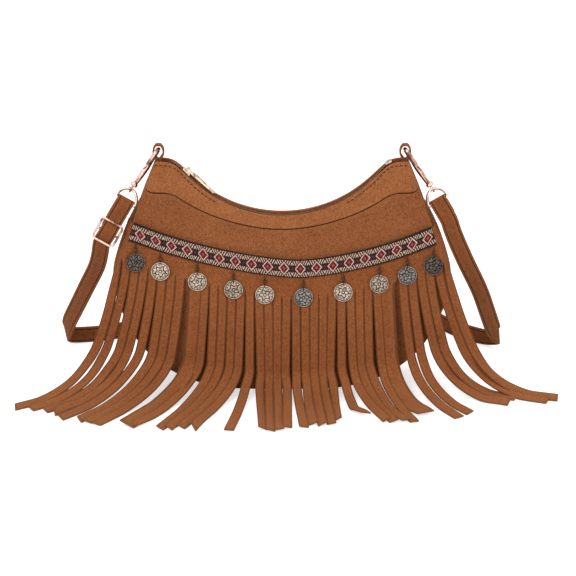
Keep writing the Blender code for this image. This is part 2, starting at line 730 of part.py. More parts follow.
def build_slider(profile, plate):
    """The slider rides on the round part of the mouth, so it turns about the arc's centre."""
    centre = Vector((0.0, 0.0, MOUTH_CENTRE_Z))
    track = MOUTH_RADIUS + ZIP_SINK
    half = SLIDER_LONG / 2 / track
    sections = []
    for k in range(5):
        angle = SLIDER_AT + lerp(-half, half, k / 4)
        inward = Vector((-math.sin(angle), 0.0, math.cos(angle)))
        foot = centre - inward * track
        sections.append([foot + Vector((0, y, 0)) + inward * h for y, h in profile(0)])
    slider = sweep("zip_slider", sections, GOLD_MAT, smooth=False)
    inward = Vector((-math.sin(SLIDER_AT), 0.0, math.cos(SLIDER_AT)))
    along = Vector((math.cos(SLIDER_AT), 0.0, math.sin(SLIDER_AT)))
    foot = centre - inward * track
    local = frame_matrix(foot, along, Vector((0, 1, 0)), inward)
    pin_h = plate + PULL_EYE + CLEAR
    for side in (-1, 1):
        long, near, far = CHEEK[0], *sorted((side * CHEEK[1], side * CHEEK[2]))
        cheek = block(f"slider_cheek_{'front' if side < 0 else 'back'}", (-long, near, plate - CHEEK_SINK),
                      (long, far, pin_h + CHEEK_ABOVE), GOLD_MAT, local)
        boolean(slider, cheek, "UNION")
    pin = tube("slider_pin", [foot + inward * pin_h + Vector((0, y, 0)) for y in (-PIN_HALF, PIN_HALF)],
               [PIN_RADIUS] * 2, GOLD_MAT, 8)
    boolean(slider, pin, "UNION")
    build_pull(foot + inward * pin_h, along, inward)
    set_origin(slider, centre)


def build_pull(pin, along, inward):
    """A long pull with a window; its tongue has an eye round the slider's pin."""
    turn = Matrix.Rotation(-PULL_LIFT, 3, "Y")
    local = frame_matrix(pin, turn @ along, Vector((0, 1, 0)), turn @ inward)
    half, thick = PULL_WIDE / 2, PULL_THICK / 2
    neck, full = PULL_NECK
    shape = [(0.0, PULL_NECK_HALF), (neck, PULL_NECK_HALF), (full, half), (PULL_LONG - PULL_CORNER, half),
             (PULL_LONG, half - PULL_CORNER)]
    outline = [(x, -y) for x, y in shape] + [(x, y) for x, y in reversed(shape)]
    sides = [[local @ Vector((x, y, z)) for x, y in outline] for z in (-thick, thick)]
    pull = sweep("zip_pull", sides, GOLD_MAT, smooth=False)
    window = block("pull_window", (PULL_WINDOW[0], -PULL_WINDOW[2] / 2, -PULL_THICK),
                   (PULL_WINDOW[1], PULL_WINDOW[2] / 2, PULL_THICK), GOLD_MAT, local)
    boolean(pull, window, "DIFFERENCE")
    about_pin = local @ Matrix.Rotation(math.radians(90), 4, "X")
    eye_half = PULL_NECK_HALF - CLEAR / 6
    eye = turned("pull_eye", [(0, -eye_half), (PULL_EYE, -eye_half), (PULL_EYE, eye_half), (0, eye_half)],
                 GOLD_MAT, 10, about_pin)
    boolean(pull, eye, "UNION")
    bore, reach = PIN_RADIUS + CLEAR, 2 * PULL_NECK_HALF
    hole = turned("pull_hole", [(0, -reach), (bore, -reach), (bore, reach), (0, reach)], GOLD_MAT, 10,
                  about_pin)
    boolean(pull, hole, "DIFFERENCE")
    set_origin(pull, pin)


build_zip()


def mirrored(vector, side):
    return Vector((vector[0] * side, vector[1], vector[2]))


def build_tab(side, name):
    """A strip folded into a loop, its two ends inside the corner of the mouth."""
    axis = Vector((side * math.cos(TAB_TURN), -math.sin(TAB_TURN), 0.0))
    out = Vector((side * math.sin(TAB_TURN), math.cos(TAB_TURN), 0.0))
    middle = Vector((side * TAB_X, 0.0, TAB_HOLE_Z))
    wide, tall = TAB_HOLE[0] + TAB_THICK / 2, TAB_HOLE[1] + TAB_THICK / 2
    leg = TAB_THICK / 2 + CLEAR / 2
    route = [(leg, TAB_FOOT_Z - TAB_HOLE_Z), (leg, -tall - 0.002), (leg * 1.4, -tall + 0.0008)]
    route += [(wide * math.cos(a), tall * math.sin(a)) for a in
              (math.radians(d) for d in range(-35, 90, 25))]
    half = [(x, z) for x, z in route]
    path = half + [(-x, z) for x, z in reversed(half)]
    points = [middle + out * x + Vector((0, 0, z)) for x, z in path]
    along = tangents(points)
    sections = []
    for point, tangent in zip(points, along):
        normal = tangent.cross(axis).normalized()
        corners = ((-1, -1), (1, -1), (1, 1), (-1, 1))
        sections.append([point + axis * a * TAB_WIDE / 2 + normal * b * TAB_THICK / 2 for a, b in corners])
    sweep(f"tab_{name}", sections, SUEDE_MAT)


def hook_axes(side):
    """The hook's own frame at the swivel's eye: up its length, and across towards the bag."""
    eye, top = mirrored(EYE, side), mirrored(LOOP_TOP, side)
    line = (top - eye)
    through = Vector((-side * math.cos(HOOK_TURN), math.sin(HOOK_TURN), 0.0))
    first = line.normalized()
    across = (through - through.dot(first) * first).normalized()
    lean = math.asin(LOOP_SHIFT / line.length)
    up = first * math.cos(lean) - across * math.sin(lean)
    across = first * math.sin(lean) + across * math.cos(lean)
    reach = math.sqrt(line.length ** 2 - LOOP_SHIFT ** 2)
    return eye, up, across, reach


def build_hook(side, name):
    eye, up, across, reach = hook_axes(side)
    flat = up.cross(across)

    def at(a, b):
        return eye + up * a + across * b
    loop_a = reach - LOOP_RADIUS
    heights = (*HOOK_HEIGHTS, loop_a - 0.002)
    arm = [(a, b, r) for a, (b, r) in zip(heights, HOOK_ARM)]
    loop = []
    for k in range(0, 9):
        angle = math.pi * k / 8
        loop.append((loop_a + LOOP_RADIUS * math.sin(angle), LOOP_SHIFT + LOOP_RADIUS * math.cos(angle),
                     HOOK_WIRE))
    nose = [(lerp(loop_a, NOSE_END, 0.5), LOOP_SHIFT - LOOP_RADIUS, HOOK_WIRE),
            (NOSE_END, NOSE_SIDE, HOOK_WIRE)]
    whole = arm + loop + nose
    hook = tube(f"hook_{name}", [at(a, b) for a, b, _ in whole], [r for _, _, r in whole], ROSE_MAT, 8,
                up=flat)
    low, high, radius = COLLAR
    turn = frame_matrix(eye, across, up.cross(across), up)
    collar = turned(f"collar_{name}", [(0, low), (radius - 0.0003, low), (radius, low + 0.0004),
                                       (radius, high - 0.0004), (radius - 0.0003, high), (0, high)],
                    ROSE_MAT, 12, turn)
    boolean(hook, collar, "UNION")
    bore = turned(f"collar_bore_{name}", [(0, low - 0.002), (STEM + CLEAR, low - 0.002),
                                          (STEM + CLEAR, high + 0.0001), (STEM_HEAD[1] + CLEAR, high + 0.0002),
                                          (STEM_HEAD[1] + CLEAR, high + 0.003), (0, high + 0.003)],
                  ROSE_MAT, 10, turn)
    boolean(hook, bore, "DIFFERENCE")
    bar = unit((STRAP_ACROSS[0], STRAP_ACROSS[1], STRAP_ACROSS[2] * side))
    bar = (bar - bar.dot(up) * up).normalized()
    build_swivel(name, frame_matrix(eye, bar, up.cross(bar), up), high)
    build_gate(side, name, at, flat)


def build_swivel(name, turn, collar_top):
    """An eye round the ring's arch, with a stem whose head sits over the hook's collar."""
    eye = tube(f"swivel_{name}", ring_points(turn, EYE_RADIUS, 12), [EYE_WIRE] * 12, ROSE_MAT, 6, True,
               turn.to_3x3() @ Vector((1, 0, 0)))
    head = collar_top + CLEAR
    stem = turned(f"stem_{name}", [(0, EYE_RADIUS - 0.0003), (STEM, EYE_RADIUS - 0.0003), (STEM, head),
                                   (STEM_HEAD[1], head), (STEM_HEAD[1] - 0.0003, head + STEM_HEAD[0]),
                                   (0, head + STEM_HEAD[0])], ROSE_MAT, 10, turn)
    boolean(eye, stem, "UNION")
    set_origin(eye, turn.translation)


def ring_points(turn, radius, count):
    """A circle in the plane square to the ring's bar."""
    points = []
    for k in range(count):
        angle = 2 * math.pi * k / count
        points.append(turn @ Vector((0.0, radius * math.cos(angle), radius * math.sin(angle))))
    return points


def build_gate(side, name, at, flat):
    """The bent spring gate: hinged beside the collar, its end just under the hook's nose."""
    foot = GATE_ROUTE[0]
    route = [*GATE_ROUTE, (NOSE_END - GATE_WIRE - CLEAR, NOSE_SIDE)]
    gate = tube(f"gate_{name}", [at(a, b) for a, b in smooth_pairs(route, 2)],
                [GATE_WIRE] * (2 * (len(route) - 1) + 1), ROSE_MAT, 6, up=flat)
    set_origin(gate, at(*foot))


def smooth_pairs(route, steps):
    curve = smooth_route([(a, b, 0.0) for a, b in route], steps)
    return [(p.x, p.y) for p in curve]


def ring_frame(side):
    """The ring's frame: along its bar, up towards the eye, and square to both."""
    bar, eye = mirrored(RING_BAR, side), mirrored(EYE, side)
    along = unit((STRAP_ACROSS[0], STRAP_ACROSS[1], STRAP_ACROSS[2] * side))
    up = eye - bar
    up = up - up.dot(along) * along
    height = up.length
    up.normalize()
    centre = eye - up * height
    return centre, along, up, height


def build_ring(side, name):
    centre, along, up, height = ring_frame(side)
    flat = along.cross(up)
    route = [(-RING_HALF + 0.0014, 0.0), (0.0, 0.0), (RING_HALF - 0.0014, 0.0)]
    for k in range(0, 11):
        angle = math.pi * k / 10
        route.append((RING_HALF * math.cos(angle), 0.0012 + (height - 0.0012) * math.sin(angle)))
    points = [centre + along * w + up * q for w, q in route]
    tube(f"d_ring_{name}", points, [RING_WIRE] * len(points), ROSE_MAT, 8, True, flat)


for hand, word in ((-1, "left"), (1, "right")):
    build_tab(hand, word)
    build_hook(hand, word)
    build_ring(hand, word)

def strap_end(side, back, stations, weave):
    """From the folded-back tail, round the ring's bar, down to where the free run begins."""
    centre, along, ring_up, _ = ring_frame(side)
    down = mirrored(STRAP_DOWN, side)
    down = (down - down.dot(along) * along).normalized()
    front = Vector((0, -1, 0))
    front = (front - front.dot(along) * along - front.dot(down) * down).normalized()
    radius = RING_WIRE + 2 * CLEAR + STRAP_THICK / 2
    path = [centre - front * radius + down * back]
    path += [centre - front * radius + down * back * k / 4 for k in (3, 2, 1)]
    for k in range(0, 7):
        angle = math.pi * k / 6
        path.append(centre - front * radius * math.cos(angle) - down * radius * math.sin(angle))
    path += [centre + front * (radius + weave(d)) + down * d for d in stations]
    return path, along, down, front, centre


def buckle_weave(d):
    """The strap passes behind the buckle's two end bars and over its middle bar."""
    off = abs(d - BUCKLE_DOWN)
    return WEAVE_DEEP * max(0.0, 1.0 - (off / WEAVE_HALF) ** 2)


def strap_section(place, across, ahead):
    across = (across - across.dot(ahead) * ahead).normalized()
    normal = across.cross(ahead)
    w, t = STRAP_WIDE / 2, STRAP_THICK / 2
    return [place + across * a * w + normal * b * t for a, b in ((-1, -1), (1, -1), (1, 1), (-1, 1))]


def build_strap():
    left, l_across, _, _, _ = strap_end(-1, FOLD_BACK_LEFT, STATIONS_DOWN, buckle_weave)
    right, r_across, _, _, _ = strap_end(1, FOLD_BACK_RIGHT, STATIONS_DOWN[:STATIONS_RIGHT],
                                         lambda d: 0.0)
    route = [(p, l_across) for p in left]
    free = [(left[-1], l_across)]
    free += [(Vector(p), Vector(a)) for p, a in STRAP_LEFT]
    free += [(Vector((x, y, STRAP_REST)), Vector((0, 0, -1))) for x, y in STRAP_FLOOR]
    free += [(Vector(p), Vector(a)) for p, a in STRAP_RIGHT]
    free += [(right[-1], -r_across)]
    places = smooth_route([p for p, _ in free], 3)
    acrosses = smooth_route([a for _, a in free], 3)
    route += list(zip(places[1:-1], acrosses[1:-1]))
    route += [(p, -r_across) for p in reversed(right)]
    along = tangents([p for p, _ in route])
    sections = [strap_section(p, a.normalized(), t) for (p, a), t in zip(route, along)]
    sweep("strap", sections, SUEDE_MAT)


def build_buckle():
    """A square frame in front of the strap, with a middle bar that the strap passes over."""
    _, along, down, front, centre = strap_end(-1, FOLD_BACK_LEFT, STATIONS_DOWN, buckle_weave)
    base = RING_WIRE + 2 * CLEAR + STRAP_THICK / 2
    height = base + STRAP_THICK / 2 + 2 * CLEAR + BUCKLE_WIRE
    middle = centre + down * BUCKLE_DOWN + front * height
    corner, inner = BUCKLE_CORNER, BUCKLE_HALF - BUCKLE_CORNER
    points = []
    for cx, cy, start in ((1, 1, 0), (-1, 1, 90), (-1, -1, 180), (1, -1, 270)):
        for step in range(4):
            angle = math.radians(start + 30 * step)
            points.append(middle + along * (cx * inner + corner * math.cos(angle))
                          + down * (cy * inner + corner * math.sin(angle)))
    frame = tube("buckle_frame", points, [BUCKLE_WIRE] * len(points), ROSE_MAT, 8, True, front)
    ends = [middle - along * BUCKLE_HALF, middle + along * BUCKLE_HALF]
    bar = tube("buckle_bar", ends, [BUCKLE_BAR] * 2, ROSE_MAT, 8, up=front)
    boolean(frame, bar, "UNION")


build_strap()
build_buckle()
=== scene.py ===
"""Looks for the fringed suede shoulder bag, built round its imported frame.

Suede panels with sewn seams, a woven ribbon, struck coins on chains, a fringe cut from one sheet,
a metal zip, rose-gold hooks and rings, and a strap. Metres, front towards -Y, table at z = 0.
"""

import json
import math
import random
from collections import namedtuple

import bmesh
import bpy
from mathutils import Matrix, Vector


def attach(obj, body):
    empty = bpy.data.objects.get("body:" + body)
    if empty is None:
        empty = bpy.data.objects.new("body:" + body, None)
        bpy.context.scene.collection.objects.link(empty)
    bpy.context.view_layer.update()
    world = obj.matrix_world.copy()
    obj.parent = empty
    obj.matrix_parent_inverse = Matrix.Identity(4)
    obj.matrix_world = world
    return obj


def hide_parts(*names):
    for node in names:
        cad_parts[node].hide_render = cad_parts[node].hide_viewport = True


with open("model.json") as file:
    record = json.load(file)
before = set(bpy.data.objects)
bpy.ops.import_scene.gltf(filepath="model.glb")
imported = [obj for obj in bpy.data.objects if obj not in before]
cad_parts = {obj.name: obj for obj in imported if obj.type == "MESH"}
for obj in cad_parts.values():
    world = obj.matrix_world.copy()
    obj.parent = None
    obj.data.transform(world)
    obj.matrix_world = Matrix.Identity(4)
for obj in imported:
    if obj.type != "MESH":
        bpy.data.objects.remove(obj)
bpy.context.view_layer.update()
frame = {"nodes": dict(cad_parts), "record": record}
bpy.ops.object.select_all(action="DESELECT")
dice = random.Random(11)

# Sizes of the bag that its pieces are set out from, as in the part's source
CORNER_X, CORNER_Z, CORNER_SLOPE = 0.107, 0.198, 0.10
MOUTH_DIP, MOUTH_RADIUS, MOUTH_REACH = 0.150, 0.108, 0.084
WIDEST_X, WIDEST_Z, SIDE_BOW = 0.141, 0.098, 0.002
BASE_FLAT, BASE_SQUARENESS = 0.030, 2.2
MOUTH_HALF, BASE_HALF, WIDEST_HALF, DEPTH_POWER = 0.0070, 0.0320, 0.0230, 1.5
SEAM_MIDDLE, SEAM_DROP = 0.930, 0.130
RIBBON_WIDTH, RIBBON_LOW_Z, RIBBON_LOW_AT = 0.0153, 0.1066, 0.10
RIBBON_LEFT_Z, RIBBON_RIGHT_Z, RIBBON_POWER = 0.1406, 0.1372, 1.55
FRINGE_OFF, FRINGE_THICK, FRINGE_CUT = 0.0006, 0.0014, 0.0240
STRIPS_A_SIDE = 17
SIDE_TURN = (0.50, 0.87)
ZIP_END, ZIP_SINK = 0.0930, 0.0028
COINS, COIN_RADIUS, COIN_THICK = 10, 0.0080, 0.0011

# Sizes of the sewing, which only the looks have
STITCH_SIZE, STITCH_BEVEL = (0.0025, 0.0008, 0.0005), 0.00014
STITCH_PITCH, STITCH_BELOW_EDGE, STITCHES_FROM_X = 0.0040, 0.0031, 0.055
ROLL_SIDES, ROLL_HALF, ROLL_UP, ROLL_PROUD = 8, 0.0010, 0.0006, 0.00075
# The dark tube under the band's roll, which paints the crease's shade: its share of the roll and its drop
SHADOW_TUBE_SHARE, SHADOW_TUBE_DOWN = 0.62, 0.00125

# Sizes of the zip's teeth: long, wide and high, then how they stand along the mouth
TOOTH_SIZE, TOOTH_BEVEL = (0.00095, 0.0023, 0.0018), 0.00022
TOOTH_PITCH, TOOTH_ASIDE, TOOTH_UP = 0.00135, 0.0004, 0.00125

# The ribbon's weave, in millimetres: thread, repeat, half sizes along and across, then its zones across
THREAD, REPEAT, WEAVE_START = 0.42, 14.0, 720.0
DIAMOND_HALF, SQUARE_HALF = (4.7, 5.6), (2.5, 3.1)
RAY_STEP, RAY_WIDE, RAY_ZONE, BORDER_ZONE = 2.10, 0.84, (2.9, 6.6), (6.7, 9.0)

# The fringe's strips: steps along each, the gap of a slit, and where on its way a strip lands
STRIP_STEPS, SLIT = 34, 0.0006 / (2 * WIDEST_X)
LANDS_FROM, LANDS_OVER = 0.36, 0.34

# Where the strips' tips lie on the table: across, and forward of the bag's middle plane
TIPS = (
    (-0.226, 0.074), (-0.212, 0.078), (-0.200, 0.081), (-0.193, 0.085), (-0.185, 0.096), (-0.169, 0.100),
    (-0.162, 0.104), (-0.154, 0.108), (-0.128, 0.112), (-0.122, 0.113), (-0.100, 0.117), (-0.093, 0.117),
    (-0.083, 0.115), (-0.076, 0.118), (-0.044, 0.120), (-0.016, 0.118), (-0.009, 0.121), (-0.002, 0.120),
    (0.005, 0.115), (0.018, 0.114), (0.027, 0.108), (0.034, 0.110), (0.041, 0.109), (0.047, 0.100),
    (0.066, 0.096), (0.087, 0.101), (0.093, 0.104), (0.100, 0.104), (0.110, 0.103), (0.118, 0.090),
    (0.148, 0.095), (0.158, 0.086), (0.192, 0.069), (0.200, 0.055), (0.227, 0.061), (0.236, 0.056),
)

# Ends that do not lie flat: from which share of the strip, then how far aside, up, back and rolled over
Curl = namedtuple("Curl", "start aside up back over")
CURLS = {
    3: Curl(0.86, 0.003, 0.003, 0.0, 2.5), 9: Curl(0.90, -0.002, 0.002, 0.0, -3.0),
    13: Curl(0.90, 0.003, 0.003, 0.001, 4.0), 17: Curl(0.92, 0.0, 0.002, 0.0, -4.0),
    24: Curl(0.88, 0.006, 0.004, 0.003, 2.0), 27: Curl(0.90, 0.004, 0.002, 0.001, 3.5),
    29: Curl(0.88, 0.003, 0.003, 0.0, 2.0), 32: Curl(0.88, 0.003, 0.003, 0.0, -3.0),
}

# How many strips lie together in a lock, from left to right
LOCKS = (2, 2, 1, 3, 2, 2, 2, 1, 4, 1, 4, 1, 3, 2, 1, 3, 2)

# Coins that are darker or warmer than the others
COIN_TONE = (0.58, 0.47, 0.37)
OTHER_COIN_TONES = {
    1: (0.15, 0.125, 0.105), 4: (0.46, 0.37, 0.28), 6: (0.30, 0.27, 0.25), 8: (0.44, 0.35, 0.27),
    9: (0.26, 0.23, 0.21), 10: (0.12, 0.10, 0.085),
}

# Lamps: place, width and power. Then the camera: what it looks at, from how far and how steeply
LAMPS = (
    ("key", (-0.9, -1.3, 1.5), 0.9, 16.0),
    ("fill", (1.2, -1.1, 1.0), 1.1, 8.0),
    ("top", (0.1, 0.5, 1.8), 1.2, 10.0),
)
LAMPS_AIM = Vector((0.0, -0.02, 0.08))
CAMERA_AIM, CAMERA_AWAY, CAMERA_RISE = Vector((0.0052, 0.0, 0.082)), 1.5, math.radians(20)
SENSOR_WIDTH, VIEW_WIDTH = 36.0, 0.501


def lerp(a, b, share):
    return a + (b - a) * share


# Shape of the bag's body

def mouth_z(x):
    x = abs(x)
    if x <= MOUTH_REACH:
        return MOUTH_DIP + MOUTH_RADIUS - math.sqrt(MOUTH_RADIUS ** 2 - x ** 2)
    drop = math.sqrt(MOUTH_RADIUS ** 2 - MOUTH_REACH ** 2)
    span = CORNER_X - MOUTH_REACH
    t = (x - MOUTH_REACH) / span
    start, slope = MOUTH_DIP + MOUTH_RADIUS - drop, MOUTH_REACH / drop
    return ((2 * t ** 3 - 3 * t ** 2 + 1) * start + (t ** 3 - 2 * t ** 2 + t) * span * slope
            + (3 * t ** 2 - 2 * t ** 3) * CORNER_Z + (t ** 3 - t ** 2) * span * CORNER_SLOPE)


def base_z(x):
    t = max(0.0, min(1.0, (abs(x) - BASE_FLAT) / (WIDEST_X - BASE_FLAT)))
    return WIDEST_Z * (1 - (1 - t ** BASE_SQUARENESS) ** (1 / BASE_SQUARENESS))


def panel_point(u, v, facing, proud=0.0):
    """A point of the front (-1) or back (1) of the body: u across, v up from base to mouth."""
    bow = SIDE_BOW * u * abs(u) ** 3 * math.sin(math.pi * v)
    x = lerp(WIDEST_X * u, CORNER_X * u, v) + bow
    z = lerp(base_z(WIDEST_X * u), mouth_z(CORNER_X * u), v)
    low = lerp(BASE_HALF, WIDEST_HALF, abs(u) ** 3)
    return Vector((x, facing * (lerp(low, MOUTH_HALF, max(0.0, v) ** DEPTH_POWER) + proud), z))


def seam_v(u):
    return SEAM_MIDDLE - SEAM_DROP * abs(u) ** 3


def skin_half(z):
    line = []
    for k in range(41):
        u = k / 40
        low_z, top_z = base_z(WIDEST_X * u), mouth_z(CORNER_X * u)
        v = (z - low_z) / (top_z - low_z)
        if v < 0.0:
            break
        line.append(panel_point(u, v, -1))
        line[-1].z = z
    return line


def skin(f, z, off):
    """A point off the front at a share f of the way to the side seam, and past it onto the side."""
    side = -1.0 if f < 0 else 1.0
    line = skin_half(z)
    reach = [0.0]
    for a, b in zip(line, line[1:]):
        reach.append(reach[-1] + (b - a).length)
    wanted = min(abs(f), 1.0) * reach[-1]
    i = max(k for k in range(len(line) - 1) if reach[k] <= wanted)
    point = line[i].lerp(line[i + 1], (wanted - reach[i]) / (reach[i + 1] - reach[i]))
    ends = (line[-1], line[-3]) if abs(f) > 0.93 else (line[min(i + 3, len(line) - 1)], line[max(i - 2, 0)])
    slope = (ends[0] - ends[1]).normalized()
    normal = Vector((slope.y, -slope.x, 0.0))
    if normal.y > 0:
        normal = -normal
    if abs(f) >= 1.0:
        turn = Vector((*SIDE_TURN, 0.0)).normalized()
        outward = Vector((turn.y, -turn.x, 0.0))
        point = point + (normal + outward) / (1.0 + normal.dot(outward)) * off
        point = point + turn * (abs(f) - 1.0) * reach[-1]
    else:
        point = point + normal * off
    point.x *= side
    return point


def band_point(f, down, off):
    end = RIBBON_LEFT_Z if f < RIBBON_LOW_AT else RIBBON_RIGHT_Z
    span = 1.0 + RIBBON_LOW_AT if f < RIBBON_LOW_AT else 1.0 - RIBBON_LOW_AT
    middle = lerp(RIBBON_LOW_Z, end, (abs(f - RIBBON_LOW_AT) / span) ** RIBBON_POWER)
    return skin(f, middle - down, off)


# Finishes

def finish_named(name, roughness, specular=None, metallic=0.0):
    """A new finish, its nodes and its shader."""
    finish = bpy.data.materials.new(name)
    finish.use_nodes = True
    shader = finish.node_tree.nodes["Principled BSDF"]
    shader.inputs["Roughness"].default_value = roughness
    shader.inputs["Metallic"].default_value = metallic
    if specular is not None:
        shader.inputs["Specular IOR Level"].default_value = specular
    return finish, finish.node_tree, shader


def noise(tree, scale, detail, roughness=0.55):
    node = tree.nodes.new("ShaderNodeTexNoise")
    node.inputs["Scale"].default_value = scale
    node.inputs["Detail"].default_value = detail
    node.inputs["Roughness"].default_value = roughness
    tree.links.new(tree.nodes.new("ShaderNodeTexCoord").outputs["Object"], node.inputs["Vector"])
    return node.outputs["Fac"]


def shades(tree, fac, *stops):
    """A ramp of (place, colour) stops driven by fac."""
    ramp = tree.nodes.new("ShaderNodeValToRGB")
    while len(ramp.color_ramp.elements) < len(stops):
        ramp.color_ramp.elements.new(0.5)
    for element, (place, colour) in zip(ramp.color_ramp.elements, stops):
        element.position = place
        element.color = (*colour, 1.0)
    tree.links.new(fac, ramp.inputs["Fac"])
    return ramp.outputs["Color"]


def times(colour, share):
    return tuple(c * share for c in colour)


def greys(*stops):
    """Stops that only darken or lighten what they are multiplied with."""
    return [(place, (grey, grey, grey)) for place, grey in stops]


def blend_colours(tree, fac, a, b, kind="MIX"):
    mix = tree.nodes.new("ShaderNodeMix")
    mix.data_type = "RGBA"
    mix.blend_type = kind
    for socket, value in ((mix.inputs[0], fac), (mix.inputs[6], a), (mix.inputs[7], b)):
        if isinstance(value, bpy.types.NodeSocket):
            tree.links.new(value, socket)
        elif isinstance(value, tuple):
            socket.default_value = (*value, 1.0)
        else:
            socket.default_value = value
    return mix.outputs[2]


def sums(tree, kind, a, b=0.0, c=0.0):
    """One step of arithmetic on sockets or plain numbers."""
    node = tree.nodes.new("ShaderNodeMath")
    node.operation = kind
    for socket, value in zip(node.inputs, (a, b, c)):
        if isinstance(value, bpy.types.NodeSocket):
            tree.links.new(value, socket)
        else:
            socket.default_value = value
    return node.outputs[0]


def within(tree, value, low, high):
    above = sums(tree, "GREATER_THAN", value, low)
    return sums(tree, "MULTIPLY", above, sums(tree, "LESS_THAN", value, high))


def near(tree, value, place, reach):
    away = sums(tree, "ABSOLUTE", sums(tree, "SUBTRACT", value, place))
    return sums(tree, "LESS_THAN", away, reach)


def raise_grain(tree, shader, height, distance, strength):
    bump = tree.nodes.new("ShaderNodeBump")
    bump.inputs["Distance"].default_value = distance
    bump.inputs["Strength"].default_value = strength
    tree.links.new(height, bump.inputs["Height"])
    tree.links.new(bump.outputs["Normal"], shader.inputs["Normal"])


def attribute(tree, name):
    node = tree.nodes.new("ShaderNodeAttribute")
    node.attribute_name = name
    return node.outputs["Fac"]


def laid_out(tree, layer):
    """The two sockets of a piece's own UV map."""
    uv = tree.nodes.new("ShaderNodeUVMap")
    uv.uv_map = layer
    split = tree.nodes.new("ShaderNodeSeparateXYZ")
    tree.links.new(uv.outputs["UV"], split.inputs[0])
    return split.outputs["X"], split.outputs["Y"]


def suede(name, dark, mid, light, tips=False, sewn=False):
    """Brushed leather with faint clouds, a speckled nap and lighter edges: rubbed wear and a painted rim
    highlight.

    tips gives darker sides (a dark cut edge and painted shade between the strips) and ends painted lighter,
    painted light where they lie flat facing the lamps; sewn gives a dark sewn line beside the edges."""
    finish, tree, shader = finish_named(name, 0.95, 0.15)
    shader.inputs["Sheen Weight"].default_value = 0.10
    shader.inputs["Sheen Roughness"].default_value = 0.50
    shader.inputs["Sheen Tint"].default_value = (0.90, 0.48, 0.26, 1.0)
    rubbed_and_highlit_suede, thread, dark_edge_and_shade_suede, lit_tip_suede = (
        (0.33, 0.13, 0.050), (0.045, 0.013, 0.005), (0.085, 0.026, 0.009), (0.34, 0.135, 0.050))
    clouds = noise(tree, 26.0, 3.0, 0.6)
    nap = noise(tree, 420.0, 4.0, 0.7)
    fuzz = noise(tree, 1250.0, 3.0, 0.75)
    cloudy = sums(tree, "MULTIPLY_ADD", clouds, 0.35, sums(tree, "MULTIPLY", nap, 0.65))
    colour = shades(tree, cloudy, (0.36, dark), (0.50, mid), (0.64, light))
    speckle = shades(tree, fuzz, *greys((0.38, 0.58), (0.50, 1.0), (0.62, 1.44)))
    colour = blend_colours(tree, 0.9, colour, speckle, "MULTIPLY")
    edge = attribute(tree, "edge")
    # Cut edges painted lighter: rubbed wear and a painted rim highlight
    rubbed_and_highlit = sums(tree, "MULTIPLY", edge, sums(tree, "MULTIPLY_ADD", nap, 0.7, 0.05))
    colour = blend_colours(tree, rubbed_and_highlit, colour, rubbed_and_highlit_suede)
    if sewn:
        line = near(tree, edge, 0.72, 0.065)
        colour = blend_colours(tree, sums(tree, "MULTIPLY", line, 0.9), colour, thread)
    if tips:
        # Strip sides painted darker: a dark cut edge, and painted shade in the gaps between the strips
        dark_edge_and_shade = sums(tree, "GREATER_THAN", edge, 0.71)
        colour = blend_colours(tree, sums(tree, "MULTIPLY", dark_edge_and_shade, 0.62), colour, dark_edge_and_shade_suede)
        # Strips painted lighter towards their tips: painted light on the ends that lie flat facing the lamps
        down = attribute(tree, "down")
        pale = sums(tree, "MULTIPLY", sums(tree, "POWER", down, 3.0), 0.45)
        colour = blend_colours(tree, pale, colour, lit_tip_suede)
    tree.links.new(colour, shader.inputs["Base Color"])
    grain = sums(tree, "ADD", sums(tree, "MULTIPLY", nap, 0.5), sums(tree, "MULTIPLY", fuzz, 0.5))
    raise_grain(tree, shader, grain, 0.00035, 0.6)
    return finish


def polished(name, colour, roughness, dark_reflection_tone=None):
    """Plated metal with faint scratches and darker blotches: a little tarnish, and where a dark tone is
    given, painted dark reflections.
    """
    finish, tree, shader = finish_named(name, roughness, metallic=1.0)
    clouds = noise(tree, 150.0, 2.0, 0.5)
    tarnish_and_dark_reflection = shades(tree, clouds, (0.36, dark_reflection_tone or times(colour, 0.72)), (0.54, colour))
    tree.links.new(tarnish_and_dark_reflection, shader.inputs["Base Color"])
    rough = sums(tree, "MULTIPLY_ADD", clouds, 0.22, roughness - 0.10)
    tree.links.new(rough, shader.inputs["Roughness"])
    raise_grain(tree, shader, noise(tree, 1400.0, 2.0), 0.00002, 0.35)
    return finish


